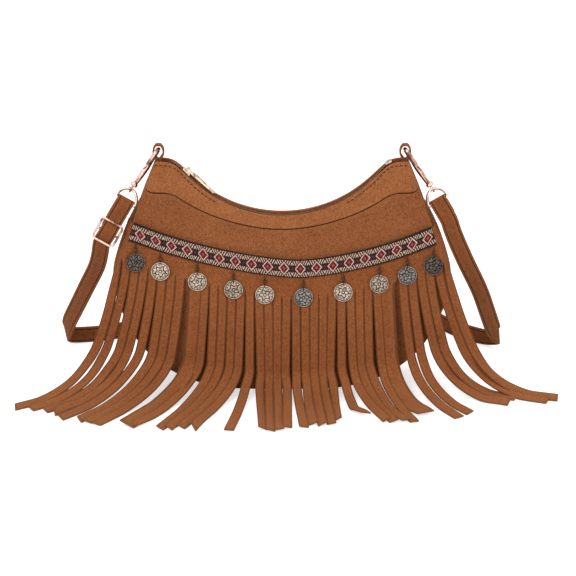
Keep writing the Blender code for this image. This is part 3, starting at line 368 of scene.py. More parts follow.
def woven_ribbon():
    """Jacquard ribbon: dark ground, pale diamonds with red inside, small squares, rays, dark borders.

    The UV map holds the place on the ribbon in millimetres, and every colour changes at a thread."""
    finish, tree, shader = finish_named("woven_ribbon", 0.85, 0.25)
    along, across = laid_out(tree, "weave")

    def to_thread(value):
        return sums(tree, "MULTIPLY", sums(tree, "FLOOR", sums(tree, "DIVIDE", value, THREAD)), THREAD)

    def lozenge(length, height, half):
        return sums(tree, "ADD", sums(tree, "DIVIDE", length, half[0]), sums(tree, "DIVIDE", height, half[1]))

    place = sums(tree, "FLOORED_MODULO", to_thread(along), REPEAT)
    from_middle = sums(tree, "ABSOLUTE", sums(tree, "SUBTRACT", place, REPEAT / 2))
    from_end = sums(tree, "SUBTRACT", REPEAT / 2, from_middle)
    high = sums(tree, "ABSOLUTE", sums(tree, "ADD", to_thread(across), THREAD / 2))
    diamond = lozenge(from_middle, high, DIAMOND_HALF)
    square = lozenge(from_end, high, SQUARE_HALF)
    fan = sums(tree, "FLOORED_MODULO", sums(tree, "MULTIPLY_ADD", high, 0.5, from_end), RAY_STEP)
    rays = sums(tree, "MULTIPLY", sums(tree, "LESS_THAN", fan, RAY_WIDE), within(tree, high, *RAY_ZONE))
    rays = sums(tree, "MULTIPLY", rays, sums(tree, "GREATER_THAN", diamond, 1.20))
    rays = sums(tree, "MULTIPLY", rays, sums(tree, "GREATER_THAN", square, 1.08))
    ground, white, border = (0.050, 0.016, 0.013), (0.76, 0.56, 0.42), (0.024, 0.013, 0.012)
    red, rose = (0.175, 0.012, 0.018), (0.42, 0.10, 0.10)
    black, plum = (0.022, 0.010, 0.013), (0.17, 0.030, 0.040)
    colour = blend_colours(tree, rays, ground, white)
    for form, reach, dyed in ((diamond, 1.00, white), (diamond, 0.78, red), (diamond, 0.26, rose),
                              (square, 0.95, black), (square, 0.42, plum)):
        colour = blend_colours(tree, within(tree, form, 0.0, reach), colour, dyed)
    colour = blend_colours(tree, within(tree, high, *BORDER_ZONE), colour, border)
    wear = shades(tree, noise(tree, 900.0, 2.0), *greys((0.3, 0.70), (0.65, 1.1)))
    colour = blend_colours(tree, 0.8, colour, wear, "MULTIPLY")
    tree.links.new(colour, shader.inputs["Base Color"])
    warp = sums(tree, "SINE", sums(tree, "MULTIPLY", along, 2 * math.pi / THREAD))
    weft = sums(tree, "SINE", sums(tree, "MULTIPLY", across, 2 * math.pi / THREAD))
    raise_grain(tree, shader, sums(tree, "MULTIPLY", warp, weft), 0.00012, 0.6)
    return finish


def woven_tape(name, colour):
    """Twill of the zip's tapes."""
    finish, tree, shader = finish_named(name, 0.9, 0.2)
    wave = tree.nodes.new("ShaderNodeTexWave")
    wave.bands_direction = "DIAGONAL"
    wave.inputs["Scale"].default_value = 420.0
    wave.inputs["Distortion"].default_value = 0.6
    tree.links.new(tree.nodes.new("ShaderNodeTexCoord").outputs["Object"], wave.inputs["Vector"])
    twill = shades(tree, wave.outputs["Fac"], (0.2, times(colour, 0.55)), (0.7, colour))
    tree.links.new(twill, shader.inputs["Base Color"])
    raise_grain(tree, shader, wave.outputs["Fac"], 0.0001, 0.5)
    return finish


# Twisted dark finish: real thread for the stitches, and the painted shade line under the band's roll
def thread_and_shadow_finish(name, colour):
    finish, tree, shader = finish_named(name, 0.8, 0.08)
    twist = shades(tree, noise(tree, 1500.0, 2.0), (0.35, times(colour, 0.6)), (0.65, colour))
    tree.links.new(twist, shader.inputs["Base Color"])
    return finish


def struck_silver(name, high):
    """Struck metal with dark grooves: petals round a boss, a ring of beads and a line inside the rim.

    The UV map holds the place on the coin in millimetres from its middle."""
    finish, tree, shader = finish_named(name, 0.4, metallic=1.0)
    x, y = laid_out(tree, "face")
    away = sums(tree, "SQRT", sums(tree, "MULTIPLY_ADD", x, x, sums(tree, "MULTIPLY", y, y)))
    angle = sums(tree, "ARCTAN2", y, x)
    wave = sums(tree, "COSINE", sums(tree, "MULTIPLY", angle, 5.0))
    petals = near(tree, away, sums(tree, "MULTIPLY_ADD", wave, 0.95, 3.7), 0.58)
    boss_line, rim_line = near(tree, away, 1.25, 0.42), near(tree, away, 6.95, 0.34)
    beads = sums(tree, "LESS_THAN", sums(tree, "SINE", sums(tree, "MULTIPLY", angle, 15.0)), -0.3)
    groove = sums(tree, "MULTIPLY", beads, near(tree, away, 5.75, 0.5))
    for mark in (petals, boss_line, rim_line):
        groove = sums(tree, "MAXIMUM", groove, mark)
    clouds = noise(tree, 420.0, 4.0, 0.6)
    plain = shades(tree, clouds, (0.38, times(high, 0.45)), (0.56, high))
    worn = sums(tree, "MULTIPLY", groove, sums(tree, "MULTIPLY_ADD", clouds, 0.4, 0.72))
    tree.links.new(blend_colours(tree, worn, plain, times(high, 0.03)), shader.inputs["Base Color"])
    tree.links.new(sums(tree, "MULTIPLY_ADD", clouds, 0.25, 0.22), shader.inputs["Roughness"])
    relief = sums(tree, "SUBTRACT", sums(tree, "MULTIPLY", noise(tree, 1800.0, 3.0), 0.3), groove)
    raise_grain(tree, shader, relief, 0.00012, 0.6)
    return finish


COGNAC = suede("cognac_suede", (0.218, 0.070, 0.024), (0.276, 0.091, 0.031), (0.330, 0.112, 0.041))
BAND = suede("band_suede", (0.272, 0.092, 0.030), (0.335, 0.117, 0.040), (0.392, 0.142, 0.052))
FRINGE = suede("fringe_suede", (0.212, 0.063, 0.018), (0.266, 0.081, 0.025), (0.318, 0.101, 0.033), tips=True)
STRAP = suede("strap_suede", (0.182, 0.053, 0.016), (0.232, 0.070, 0.021), (0.280, 0.088, 0.029), sewn=True)
RIBBON = woven_ribbon()
CHAIN = polished("dark_chain", (0.055, 0.040, 0.033), 0.42)
# The dark tones given here are painted dark reflections on the polished metal
ROSE = polished("rose_gold", (0.80, 0.52, 0.42), 0.22, (0.24, 0.11, 0.075))
RING = polished("pale_rose", (0.88, 0.70, 0.62), 0.20, (0.46, 0.30, 0.24))
GOLD = polished("pale_gold", (0.86, 0.72, 0.52), 0.24, (0.30, 0.20, 0.12))
TEETH = polished("dark_teeth", (0.200, 0.105, 0.062), 0.42)
TAPE = woven_tape("zip_tape", (0.26, 0.058, 0.034))
# The dark tube under the band's roll is painted shade in the crease, not a thread
CREASE_SHADOW = thread_and_shadow_finish("painted_seam_shadow", (0.085, 0.026, 0.010))
STITCHING = thread_and_shadow_finish("brown_thread", (0.120, 0.036, 0.014))


# Shaping helpers

def select_only(piece):
    bpy.ops.object.select_all(action="DESELECT")
    piece.select_set(True)
    bpy.context.view_layer.objects.active = piece


def apply_all(piece):
    select_only(piece)
    for change in list(piece.modifiers):
        bpy.ops.object.modifier_apply(modifier=change.name)


def give(piece, finish):
    piece.data.materials.clear()
    piece.data.materials.append(finish)


def cut_from(node, name, finish):
    """A copy of a CAD node's shape, with its loose triangles joined again."""
    select_only(frame["nodes"][node])
    bpy.ops.object.duplicate()
    piece = bpy.context.view_layer.objects.active
    piece.name = piece.data.name = name
    piece.parent = None
    piece.matrix_world = Matrix.Identity(4)
    bpy.ops.object.mode_set(mode="EDIT")
    bpy.ops.mesh.select_all(action="SELECT")
    bpy.ops.mesh.remove_doubles(threshold=0.000005)
    bpy.ops.mesh.tris_convert_to_quads(face_threshold=math.radians(60), shape_threshold=math.radians(60))
    bpy.ops.object.mode_set(mode="OBJECT")
    give(piece, finish)
    return piece


def set_down(piece, body, *nodes, slot):
    """The finished piece rides on its body and stands for its CAD nodes."""
    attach(piece, body)
    if nodes:
        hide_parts(*nodes)


def soften(piece, angle):
    select_only(piece)
    bpy.ops.object.shade_smooth_by_angle(angle=math.radians(angle))


def refine(piece, levels):
    fine = piece.modifiers.new("fine", "SUBSURF")
    fine.levels = fine.render_levels = levels
    apply_all(piece)


def ease_edges(piece, width, angle, segments=2):
    rim = piece.modifiers.new("rim", "BEVEL")
    rim.width = width
    rim.segments = segments
    rim.limit_method = "ANGLE"
    rim.angle_limit = math.radians(angle)
    apply_all(piece)


def fatten(piece, by):
    """Swells a wire by a little, as plating and polish round it off."""
    swell = piece.modifiers.new("swell", "DISPLACE")
    swell.mid_level = 0.0
    swell.strength = by
    apply_all(piece)


def sharp_edges(mesh, angle):
    return [edge for edge in mesh.edges
            if len(edge.link_faces) == 2 and edge.calc_face_angle() > math.radians(angle)]


def crease_rims(piece, angle):
    """Marks the sheet's cut edges, so that subdivision keeps them."""
    mesh = bmesh.new()
    mesh.from_mesh(piece.data)
    crease = mesh.edges.layers.float.get("crease_edge") or mesh.edges.layers.float.new("crease_edge")
    for edge in sharp_edges(mesh, angle):
        edge[crease] = 1.0
    mesh.to_mesh(piece.data)
    mesh.free()


def mark_edges(piece):
    """Stores which points are on a cut edge, for the lighter edge with its painted rim highlight and for the
    sewn line: 1 there, 0 elsewhere.
    """
    mesh = bmesh.new()
    mesh.from_mesh(piece.data)
    layer = mesh.verts.layers.float.get("edge") or mesh.verts.layers.float.new("edge")
    for edge in sharp_edges(mesh, 30):
        for vert in edge.verts:
            vert[layer] = 1.0
    mesh.to_mesh(piece.data)
    mesh.free()


def dress_sheet(node, name, finish, levels=2, bevel=0.0004):
    """A sewn leather piece: the CAD sheet made smooth, with rounded edges that are rubbed and painted lighter
    as a rim highlight.
    """
    piece = cut_from(node, name, finish)
    crease_rims(piece, 45)
    refine(piece, levels)
    mark_edges(piece)
    ease_edges(piece, bevel, 45)
    soften(piece, 50)
    return piece


def dress_solid(node, name, finish, bevel):
    """A metal or moulded piece with its corners eased."""
    piece = cut_from(node, name, finish)
    ease_edges(piece, bevel, 35)
    soften(piece, 30)
    return piece


def dress_wire(node, name, finish, swell):
    """A bent wire made round."""
    piece = cut_from(node, name, finish)
    refine(piece, 2)
    fatten(piece, swell)
    soften(piece, 60)
    return piece


def new_piece(name, mesh, finish):
    piece = bpy.data.objects.new(name, mesh)
    bpy.context.scene.collection.objects.link(piece)
    mesh.materials.append(finish)
    return piece


def copy_of(piece, name):
    """A copy with its own mesh."""
    twin = piece.copy()
    twin.data = piece.data.copy()
    twin.name = twin.data.name = name
    bpy.context.scene.collection.objects.link(twin)
    return twin


def eased_block(size, bevel):
    """A small block with its edges cut back."""
    bpy.ops.mesh.primitive_cube_add(size=1.0)
    block = bpy.context.object
    block.scale = size
    bpy.ops.object.transform_apply(location=False, rotation=False, scale=True)
    bpy.ops.object.mode_set(mode="EDIT")
    bpy.ops.mesh.select_all(action="SELECT")
    bpy.ops.mesh.bevel(offset=bevel, segments=1)
    bpy.ops.object.mode_set(mode="OBJECT")
    return block


def copies(model, places, name, finish):
    """One mesh of many copies of a small piece, each set by its own matrix."""
    points, faces = [], []
    for place in places:
        first = len(points)
        points += [place @ v.co for v in model.data.vertices]
        faces += [[first + i for i in face.vertices] for face in model.data.polygons]
    mesh = bpy.data.meshes.new(name)
    mesh.from_pydata(points, [], faces)
    mesh.polygons.foreach_set("use_smooth", [True] * len(faces))
    bpy.data.objects.remove(model, do_unlink=True)
    return new_piece(name, mesh, finish)


def frame_at(place, x_axis, y_axis, z_axis):
    matrix = Matrix((x_axis, y_axis, z_axis)).transposed().to_4x4()
    matrix.translation = place
    return matrix


# Body

def sew_body():
    for side in ("front", "back"):
        panel = dress_sheet(f"{side}_panel", f"suede_{side}", COGNAC)
        set_down(panel, "bag", f"{side}_panel", slot="cognac_suede")
        band = dress_sheet(f"{side}_band", f"band_{side}", BAND)
        set_down(band, "bag", f"{side}_band", slot="cognac_suede")
    set_down(dress_sheet("gusset", "suede_gusset", COGNAC), "bag", "gusset", slot="cognac_suede")


def seam_line(v_of, facing, proud, steps=120, reach=0.985):
    """Points along a line of the body, each with the direction out of the suede."""
    aside, above = 0.004, 0.01
    line = []
    for k in range(steps + 1):
        u = math.sin(math.pi / 2 * lerp(-reach, reach, k / steps))
        v = v_of(u)
        here = panel_point(u, v, facing, proud)
        side = panel_point(u + aside, v_of(u + aside), facing, proud)
        up = panel_point(u, v + above, facing, proud)
        out = (side - here).cross(up - here).normalized()
        if out.y * facing < 0:
            out = -out
        line.append((here, out))
    return line


def stitch_places(line, pitch, lift):
    places, gone, due = [], 0.0, pitch / 2
    for (a, out_a), (b, _) in zip(line, line[1:]):
        span = (b - a).length
        while gone + span >= due:
            point = a.lerp(b, (due - gone) / span)
            along = (b - a).normalized()
            out = (out_a - out_a.dot(along) * along).normalized()
            places.append(frame_at(point + out * lift, along, out.cross(along), out))
            due += pitch
        gone += span
    return places


def sew_stitches():
    """A row of thread below the band's top edge, on both sides, left off where the mouth dips."""
    def below_edge(u):
        return 1.0 - STITCH_BELOW_EDGE / (mouth_z(CORNER_X * u) - base_z(WIDEST_X * u))

    places = []
    for facing in (-1, 1):
        row = stitch_places(seam_line(below_edge, facing, 0.0005), STITCH_PITCH, 0.0001)
        places += [place for place in row if abs(place.translation.x) > STITCHES_FROM_X]
    stitch = eased_block(STITCH_SIZE, STITCH_BEVEL)
    set_down(copies(stitch, places, "band_stitches", STITCHING), "bag", slot="cognac_suede")


def roll_along(line, name):
    """A closed roll round a line of places with their outward directions."""
    points, faces = [], []
    last = len(line) - 1
    for i, (place, out) in enumerate(line):
        ahead = (line[min(i + 1, last)][0] - line[max(i - 1, 0)][0]).normalized()
        up = out.cross(ahead).normalized()
        if up.z < 0:
            up = -up
        for k in range(ROLL_SIDES):
            angle = 2 * math.pi * k / ROLL_SIDES
            high = ROLL_HALF * math.cos(angle) + ROLL_UP
            points.append(place + up * high + out * ROLL_PROUD * math.sin(angle))
    for i in range(last):
        for k in range(ROLL_SIDES):
            n = (k + 1) % ROLL_SIDES
            here, there = i * ROLL_SIDES, (i + 1) * ROLL_SIDES
            faces.append((here + k, here + n, there + n, there + k))
    for end in (0, last):
        faces.append(tuple(end * ROLL_SIDES + k for k in range(ROLL_SIDES)))
    mesh = bpy.data.meshes.new(name)
    mesh.from_pydata(points, [], faces)
    roll = new_piece(name, mesh, BAND)
    select_only(roll)
    bpy.ops.object.mode_set(mode="EDIT")
    bpy.ops.mesh.select_all(action="SELECT")
    bpy.ops.mesh.normals_make_consistent(inside=False)
    bpy.ops.object.mode_set(mode="OBJECT")
    soften(roll, 60)
    return roll


def fold_band_edge():
    """The band's lower edge is turned in: a narrow roll along the seam, over a dark tube that is painted
    shade in the crease below it.
    """
    for facing, side in ((-1, "front"), (1, "back")):
        line = seam_line(lambda u: seam_v(u) + 0.0002, facing, 0.0001, 90, 0.999)
        roll = roll_along(line, f"band_roll_{side}")
        # A dark, shrunk and lowered copy of the roll: painted shadow in the crease below it
        crease = copy_of(roll, f"band_shadow_tube_{side}")
        give(crease, CREASE_SHADOW)
        for number, vert in enumerate(crease.data.vertices):
            place = line[number // ROLL_SIDES][0]
            vert.co = place + (vert.co - place) * SHADOW_TUBE_SHARE - Vector((0, 0, SHADOW_TUBE_DOWN))
        set_down(crease, "bag", slot="cognac_suede")
        set_down(roll, "bag", slot="cognac_suede")


# Ribbon

def ribbon_run():
    """Places along the ribbon's middle, each with x, z and how much ribbon lies before it."""
    run, gone, before = [], 0.0, None
    for k in range(201):
        here = band_point(lerp(-1.0, 1.0, k / 200), 0.0, 0.0025)
        if before is not None:
            gone += (here - before).length
        run.append((here.x, here.z, gone))
        before = here
    return run


def weave_ribbon():
    """The ribbon's sheet, its UV map laid out in millimetres along and across the weave."""
    ribbon = cut_from("ribbon", "woven_band", RIBBON)
    crease_rims(ribbon, 60)
    refine(ribbon, 2)
    run = ribbon_run()
    length = run[-1][2]
    layer = ribbon.data.uv_layers.new(name="weave")
    for loop in ribbon.data.loops:
        place = ribbon.data.vertices[loop.vertex_index].co
        i = min(range(len(run) - 1), key=lambda k: abs((run[k][0] + run[k + 1][0]) / 2 - place.x))
        (x0, z0, gone0), (x1, z1, gone1) = run[i], run[i + 1]
        share = (place.x - x0) / (x1 - x0)
        flatness = (x1 - x0) / math.hypot(x1 - x0, z1 - z0)
        across = (place.z - lerp(z0, z1, share)) * 1000.0
        along = (lerp(gone0, gone1, share) - length / 2) * 1000.0
        layer.data[loop.index].uv = (along + WEAVE_START, across * (0.9 + 0.1 * flatness))
    soften(ribbon, 60)
    set_down(ribbon, "bag", "ribbon", slot="woven_ribbon")


# Fringe

def strip_path(f, tip):
    """Points of a strip's middle: it hangs by the suede, bends over the table and runs on to its tip."""
    start = band_point(f, FRINGE_CUT, FRINGE_OFF)
    side = min(1.0, abs(start.x) / WIDEST_X) ** 1.5
    gone = tip.x - start.x
    heel_x, bend_x = start.x + gone * lerp(0.02, 0.23, side), start.x + gone * lerp(0.08, 0.41, side)
    heel = Vector((heel_x, -lerp(0.0352, 0.0300, side), lerp(0.018, 0.046, side)))
    bend = Vector((bend_x, -lerp(0.0390, 0.0400, side), 0.0))
    hang, points = int(STRIP_STEPS * 0.4), []
    for k in range(hang):
        t = k / hang
        point = start.lerp(heel, t)
        point.x = start.x + (heel.x - start.x) * t ** 1.35
        point.y -= 0.0024 * (1.0 - side) * math.sin(math.pi * t)
        points.append(point)
    for k in range(STRIP_STEPS - hang + 1):
        t = k / (STRIP_STEPS - hang)
        points.append((1 - t) ** 2 * heel + 2 * t * (1 - t) * bend + t * t * tip)
    return points


def lay_uncut_part(mesh, strips):
    """The sheet behind and below the ribbon, down to where the slits begin. Returns its lowest points."""
    columns = []
    for low, high in strips:
        columns += [low + SLIT, (low + high) / 2, high - SLIT]
    downs = (0.0010 - RIBBON_WIDTH / 2, 0.0, RIBBON_WIDTH / 2, 0.0158, FRINGE_CUT)
    grid = [[mesh.verts.new(band_point(f, down, FRINGE_OFF)) for f in columns] for down in downs]
    for upper, lower in zip(grid, grid[1:]):
        for c in range(len(columns) - 1):
            mesh.faces.new((upper[c], lower[c], lower[c + 1], upper[c + 1]))
    return grid[-1]


def gather_locks(strips, across_all):
    """For each strip, how far its lock pulls it aside and how far the lock stands off the suede."""
    locks = [k for k, count in enumerate(LOCKS) for _ in range(count)]
    middles = [sum((low + high) / 2 for (low, high), k in zip(strips, locks) if k == lock) / LOCKS[lock]
               for lock in range(len(LOCKS))]
    swings = [dice.uniform(-0.0007, 0.0007) for _ in LOCKS]
    depths = [dice.uniform(0.0, 0.0022) for _ in LOCKS]
    pulls = [(middles[k] - (low + high) / 2) * across_all / 2 * 0.10 + swings[k]
             for (low, high), k in zip(strips, locks)]
    return pulls, [depths[k] for k in locks]


Strip = namedtuple("Strip", "path hung faced width lean outward pull curl tilt proud cup slant drift")


def choose_strip(number, low, high, hung, pull, depth):
    """How one strip lies: its path, its hung width, and how it leans, rolls, cups and drifts."""
    x, forward = TIPS[number]
    width, hung = hung.length, hung.normalized()
    at_side = abs(low + high) > 1.96
    nearest = min(abs(x - TIPS[k][0]) for k in (number - 1, number + 1) if 0 <= k < len(TIPS))
    lean = 0.10 if nearest > width else min(0.42, 0.0016 / nearest)
    outward = 1.0 if x < 0.02 else -1.0
    return Strip(
        path=strip_path((low + high) / 2, Vector((x, -forward, 0.0))),
        hung=hung,
        faced=hung.lerp(Vector((1.0, 0.0, 0.0)), 0.85 if at_side else 0.0).normalized(),
        width=width,
        lean=lean,
        outward=outward,
        pull=pull,
        curl=CURLS.get(number),
        tilt=outward * lean * 0.35 + dice.uniform(-0.05, 0.05),
        proud=depth + dice.uniform(0.0, 0.0004),
        cup=dice.uniform(-0.0003, 0.0003),
        slant=dice.uniform(-0.40, 0.40),
        drift=dice.uniform(-0.0006, 0.0006),
    )


def strip_row(strip, step):
    """Left, middle and right point of a strip at one step of its way."""
    t = step / STRIP_STEPS
    loose = min(1.0, t * 5)
    landed = max(0.0, min(1.0, (t - LANDS_FROM) / LANDS_OVER))
    landed = landed * landed * (3 - 2 * landed)
    here = strip.path[step].copy()
    ahead = (strip.path[min(step + 1, STRIP_STEPS)] - strip.path[step - 1]).normalized()
    flat = Vector((-ahead.y, ahead.x, 0.0)).normalized()
    across = strip.hung.lerp(strip.faced, min(1.0, t * 4)).lerp(flat, landed)
    across = (across - across.dot(ahead) * ahead).normalized()
    normal = across.cross(ahead)
    here += normal * (-strip.proud * loose * (1.0 - landed))
    here += across * strip.pull * min(1.0, t / 0.4) * (1.0 - landed)
    here += across * strip.drift * (0.25 + landed) * math.sin(math.pi * (landed + 1.3 * t)) * loose
    sideways = math.asin(min(1.0, abs(ahead.x))) * lerp(0.42, 0.24, max(0.0, (t - 0.6) / 0.4))
    roll = lerp(strip.tilt * loose, strip.outward * max(strip.lean, sideways) + strip.tilt, landed)
    curl = strip.curl
    if curl and t > curl.start:
        bent = (t - curl.start) / (1.0 - curl.start)
        here += across * curl.aside * bent ** 1.6
        here.z += curl.up * math.sin(bent * math.pi * 0.62)
        here -= ahead * curl.back * bent * bent
        roll += curl.over * (t - curl.start)
    wide = across * math.cos(roll) + normal * math.sin(roll)
    here.z = max(here.z, 0.0003 + abs(wide.z) * strip.width / 2)
    half = strip.width / 2 * lerp(1.06, 1.15, t)
    cut = strip.slant * half if step == STRIP_STEPS else 0.0
    row = []
    for place, bulge in ((-1, 0.0), (0, strip.cup * loose), (1, 0.0)):
        point = here + wide * half * place + normal * bulge + ahead * cut * place
        point.z = max(point.z, 0.0002)
        row.append(point)
    return row


def lay_strip(mesh, edge, down, strip, above):
    """The strip's faces, hung from the three points above. Its sides and its end are marked as cut."""
    for step in range(1, STRIP_STEPS + 1):
        row = [mesh.verts.new(point) for point in strip_row(strip, step)]
        for place, vert in enumerate(row):
            vert[edge] = 0.85 if place != 1 or step == STRIP_STEPS else 0.0
            vert[down] = step / STRIP_STEPS
        mesh.faces.new((above[0], row[0], row[1], above[1]))
        mesh.faces.new((above[1], row[1], row[2], above[2]))
        above = row


def cut_fringe():
    """One sheet: an uncut part at the ribbon, then strips that lean and roll a little and lie in locks."""
    mesh = bmesh.new()
    edge = mesh.verts.layers.float.new("edge")
    down = mesh.verts.layers.float.new("down")
    numbers = range(-STRIPS_A_SIDE - 1, STRIPS_A_SIDE + 1)
    strips = [(k / STRIPS_A_SIDE, (k + 1) / STRIPS_A_SIDE) for k in numbers]
    row = lay_uncut_part(mesh, strips)
    across_all = sum((b.co - a.co).length for a, b in zip(row, row[1:]))
    pulls, depths = gather_locks(strips, across_all)
    longest = 0.0
    for number, (low, high) in enumerate(strips):
        above = row[3 * number:3 * number + 3]
        above[0][edge] = above[2][edge] = 0.6
        strip = choose_strip(number, low, high, above[2].co - above[0].co, pulls[number], depths[number])
        longest = max(longest, sum((b - a).length for a, b in zip(strip.path, strip.path[1:])))
        lay_strip(mesh, edge, down, strip, above)
    area = sum(face.calc_area() for face in mesh.faces)
    data = bpy.data.meshes.new("fringe_sheet")
    mesh.to_mesh(data)
    mesh.free()
    fringe = new_piece("fringe_sheet", data, FRINGE)
    wall = fringe.modifiers.new("wall", "SOLIDIFY")
    wall.thickness = FRINGE_THICK
    wall.offset = 1.0
    apply_all(fringe)
    ease_edges(fringe, 0.00035, 60, 1)
    refine(fringe, 1)
    soften(fringe, 60)
    set_down(fringe, "bag", "fringe", slot="fringe_suede")


# Coins

def strike_coin():
    """A coin with a raised rim and a boss on both faces, its UV map in millimetres from the middle."""
    bpy.ops.mesh.primitive_cylinder_add(vertices=48, radius=COIN_RADIUS, depth=COIN_THICK)
    disc = bpy.context.object
    bpy.ops.object.mode_set(mode="EDIT")
    bpy.ops.mesh.select_mode(type="FACE")
    bpy.ops.mesh.select_all(action="DESELECT")
    shape = bmesh.from_edit_mesh(disc.data)
    for face in shape.faces:
        face.select_set(abs(face.normal.z) > 0.9)
    bmesh.update_edit_mesh(disc.data)
    for inwards, deeper in ((0.0008, 0.0), (0.0003, -0.00018), (0.0058, 0.0), (0.0003, 0.00016)):
        bpy.ops.mesh.inset(thickness=inwards, depth=deeper, use_individual=True)
    bpy.ops.object.mode_set(mode="OBJECT")
    ease_edges(disc, 0.00014, 40)
    layer = disc.data.uv_layers.new(name="face")
    for loop in disc.data.loops:
        place = disc.data.vertices[loop.vertex_index].co
        layer.data[loop.index].uv = (place.x * 1000.0, place.y * 1000.0)
    disc.data.uv_layers.active = layer
    return disc


def middle_of(node):
    """The middle of a CAD node's box."""
    places = [v.co for v in node.data.vertices]
    return Vector([(min(p[i] for p in places) + max(p[i] for p in places)) / 2 for i in range(3)])


def hang_coins():
    model = strike_coin()
    joints = {joint["name"]: joint for joint in frame["record"]["behaviour"]["joints"]}
    for number in range(1, COINS + 1):
        joint = joints[f"coin_swing_{number:02d}"]
        centre = middle_of(frame["nodes"][f"coin_{number:02d}"])
        x_axis = -Vector(joint["axis"]).normalized()
        up = Vector(joint["pos_m"]) - centre
        up = (up - up.dot(x_axis) * x_axis).normalized()
        turn = Matrix.Rotation(dice.uniform(-math.pi, math.pi), 4, "Z")
        coin = copy_of(model, f"struck_coin_{number:02d}")
        coin.data.transform(frame_at(centre, x_axis, up, -x_axis.cross(up)) @ turn)
        give(coin, struck_silver(f"coin_silver_{number:02d}", OTHER_COIN_TONES.get(number, COIN_TONE)))
        soften(coin, 40)
        set_down(coin, f"hung_coin_{number:02d}", f"coin_{number:02d}", slot="antique_silver")
        give(frame["nodes"][f"coin_chain_{number:02d}"], CHAIN)
    bpy.data.objects.remove(model, do_unlink=True)


# Zip

def zip_station(x):
    step = 0.0005
    along = Vector((2 * step, 0.0, mouth_z(x + step) - mouth_z(x - step))).normalized()
    return Vector((x, 0.0, mouth_z(x))), along, Vector((-along.z, 0.0, along.x))


def cut_teeth():
    """Two rows of metal teeth that mesh along the mouth."""
    places = []
    x, side = -ZIP_END + 0.0008, 1.0
    while x < ZIP_END - 0.0006:
        place, along, up = zip_station(x)
        place += up * (TOOTH_UP - ZIP_SINK) + Vector((0, side * TOOTH_ASIDE, 0))
        places.append(frame_at(place, along, Vector((0, 1, 0)), -up))
        x += TOOTH_PITCH * along.x
        side = -side
    teeth = copies(eased_block(TOOTH_SIZE, TOOTH_BEVEL), places, "metal_teeth", TEETH)
    set_down(teeth, "bag", "zip_teeth", slot="dark_teeth")


def fit_zip():
    cut_teeth()
    for side in ("front", "back"):
        tape = dress_solid(f"zip_tape_{side}", f"tape_{side}", TAPE, 0.0002)
        set_down(tape, "bag", f"zip_tape_{side}", slot="zip_tape")
    clip = dress_solid("zip_clip", "zip_end_clip", GOLD, 0.0003)
    set_down(clip, "bag", "zip_clip", slot="pale_gold")
    slider = dress_solid("zip_slider", "slider_body", GOLD, 0.00025)
    set_down(slider, "slider", "zip_slider", slot="pale_gold")
    pull = dress_solid("zip_pull", "slider_pull", GOLD, 0.00022)
    set_down(pull, "pull", "zip_pull", slot="pale_gold")


# Hooks, rings, strap

def fit_hardware():
    for side, letter in (("left", "l"), ("right", "r")):
        loop = dress_sheet(f"tab_{side}", f"tab_loop_{side}", STRAP, 1, 0.0003)
        set_down(loop, "bag", f"tab_{side}", slot="cognac_suede")
        ring = dress_wire(f"d_ring_{side}", f"ring_{side}", RING, 0.0005)
        set_down(ring, "bag", f"d_ring_{side}", slot="rose_gold")
        gate = dress_wire(f"gate_{side}", f"spring_gate_{side}", ROSE, 0.0002)
        set_down(gate, f"gate_{letter}", f"gate_{side}", slot="rose_gold")
        hook = dress_wire(f"hook_{side}", f"snap_hook_{side}", ROSE, 0.0006)
        set_down(hook, "bag", f"hook_{side}", slot="rose_gold")
        eye = dress_solid(f"swivel_{side}", f"swivel_eye_{side}", ROSE, 0.00015)
        set_down(eye, f"eye_{letter}", f"swivel_{side}", slot="rose_gold")
    buckle = dress_solid("buckle_frame", "slide_buckle", ROSE, 0.00015)
    set_down(buckle, "bag", "buckle_frame", slot="rose_gold")


def fit_strap():
    strap = dress_sheet("strap", "suede_strap", STRAP, 1, 0.0005)
    set_down(strap, "bag", "strap", slot="cognac_suede")


# Table, light and camera

def rays_that_see(tree):
    """1 for what the camera, reflections and glass see, and 0 for what lights the bag."""
    path = tree.nodes.new("ShaderNodeLightPath")
    seen = sums(tree, "MAXIMUM", path.outputs["Is Camera Ray"], path.outputs["Is Glossy Ray"])
    return sums(tree, "MAXIMUM", seen, path.outputs["Is Transmission Ray"])


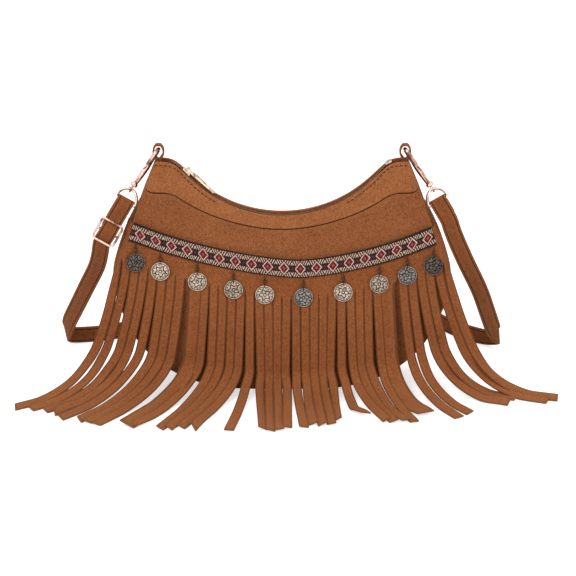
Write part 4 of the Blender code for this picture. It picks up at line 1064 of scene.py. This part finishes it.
def lay_table():
    bpy.ops.mesh.primitive_plane_add(size=6.0, location=(0, 0.6, 0))
    table = bpy.context.object
    table.name = "table_top"
    finish, tree, shader = finish_named("pale_table", 0.95, 0.0)
    shader.inputs["Base Color"].default_value = (0.80, 0.80, 0.80, 1.0)
    glow = tree.nodes.new("ShaderNodeEmission")
    glow.inputs["Color"].default_value = (1.0, 1.0, 1.0, 1.0)
    tree.links.new(sums(tree, "MULTIPLY", rays_that_see(tree), 0.62), glow.inputs["Strength"])
    both = tree.nodes.new("ShaderNodeAddShader")
    tree.links.new(shader.outputs[0], both.inputs[0])
    tree.links.new(glow.outputs[0], both.inputs[1])
    tree.links.new(both.outputs[0], tree.nodes["Material Output"].inputs["Surface"])
    give(table, finish)


def light_studio():
    world = bpy.data.worlds.new("studio")
    bpy.context.scene.world = world
    world.use_nodes = True
    tree = world.node_tree
    back = tree.nodes["Background"]
    back.inputs["Color"].default_value = (1.0, 1.0, 1.0, 1.0)
    tree.links.new(sums(tree, "MULTIPLY_ADD", rays_that_see(tree), 0.5, 0.5), back.inputs["Strength"])
    for name, place, size, power in LAMPS:
        bpy.ops.object.light_add(type="AREA", location=place)
        lamp = bpy.context.object
        lamp.name = name
        lamp.data.size = size
        lamp.data.energy = power
        lamp.rotation_euler = (LAMPS_AIM - Vector(place)).to_track_quat("-Z", "Y").to_euler()


def set_camera():
    lens = bpy.data.cameras.new("camera")
    lens.sensor_width = SENSOR_WIDTH
    lens.lens = SENSOR_WIDTH * CAMERA_AWAY / VIEW_WIDTH
    camera = bpy.data.objects.new("camera", lens)
    bpy.context.scene.collection.objects.link(camera)
    back = Vector((0.0, -math.cos(CAMERA_RISE), math.sin(CAMERA_RISE)))
    camera.location = CAMERA_AIM + CAMERA_AWAY * back
    camera.rotation_euler = (math.radians(90) - CAMERA_RISE, 0.0, 0.0)
    bpy.context.scene.camera = camera


set_camera()
sew_body()
sew_stitches()
fold_band_edge()
cut_fringe()
weave_ribbon()
hang_coins()
fit_zip()
fit_hardware()
fit_strap()
lay_table()
light_studio()
bpy.context.scene.view_settings.view_transform = "Standard"
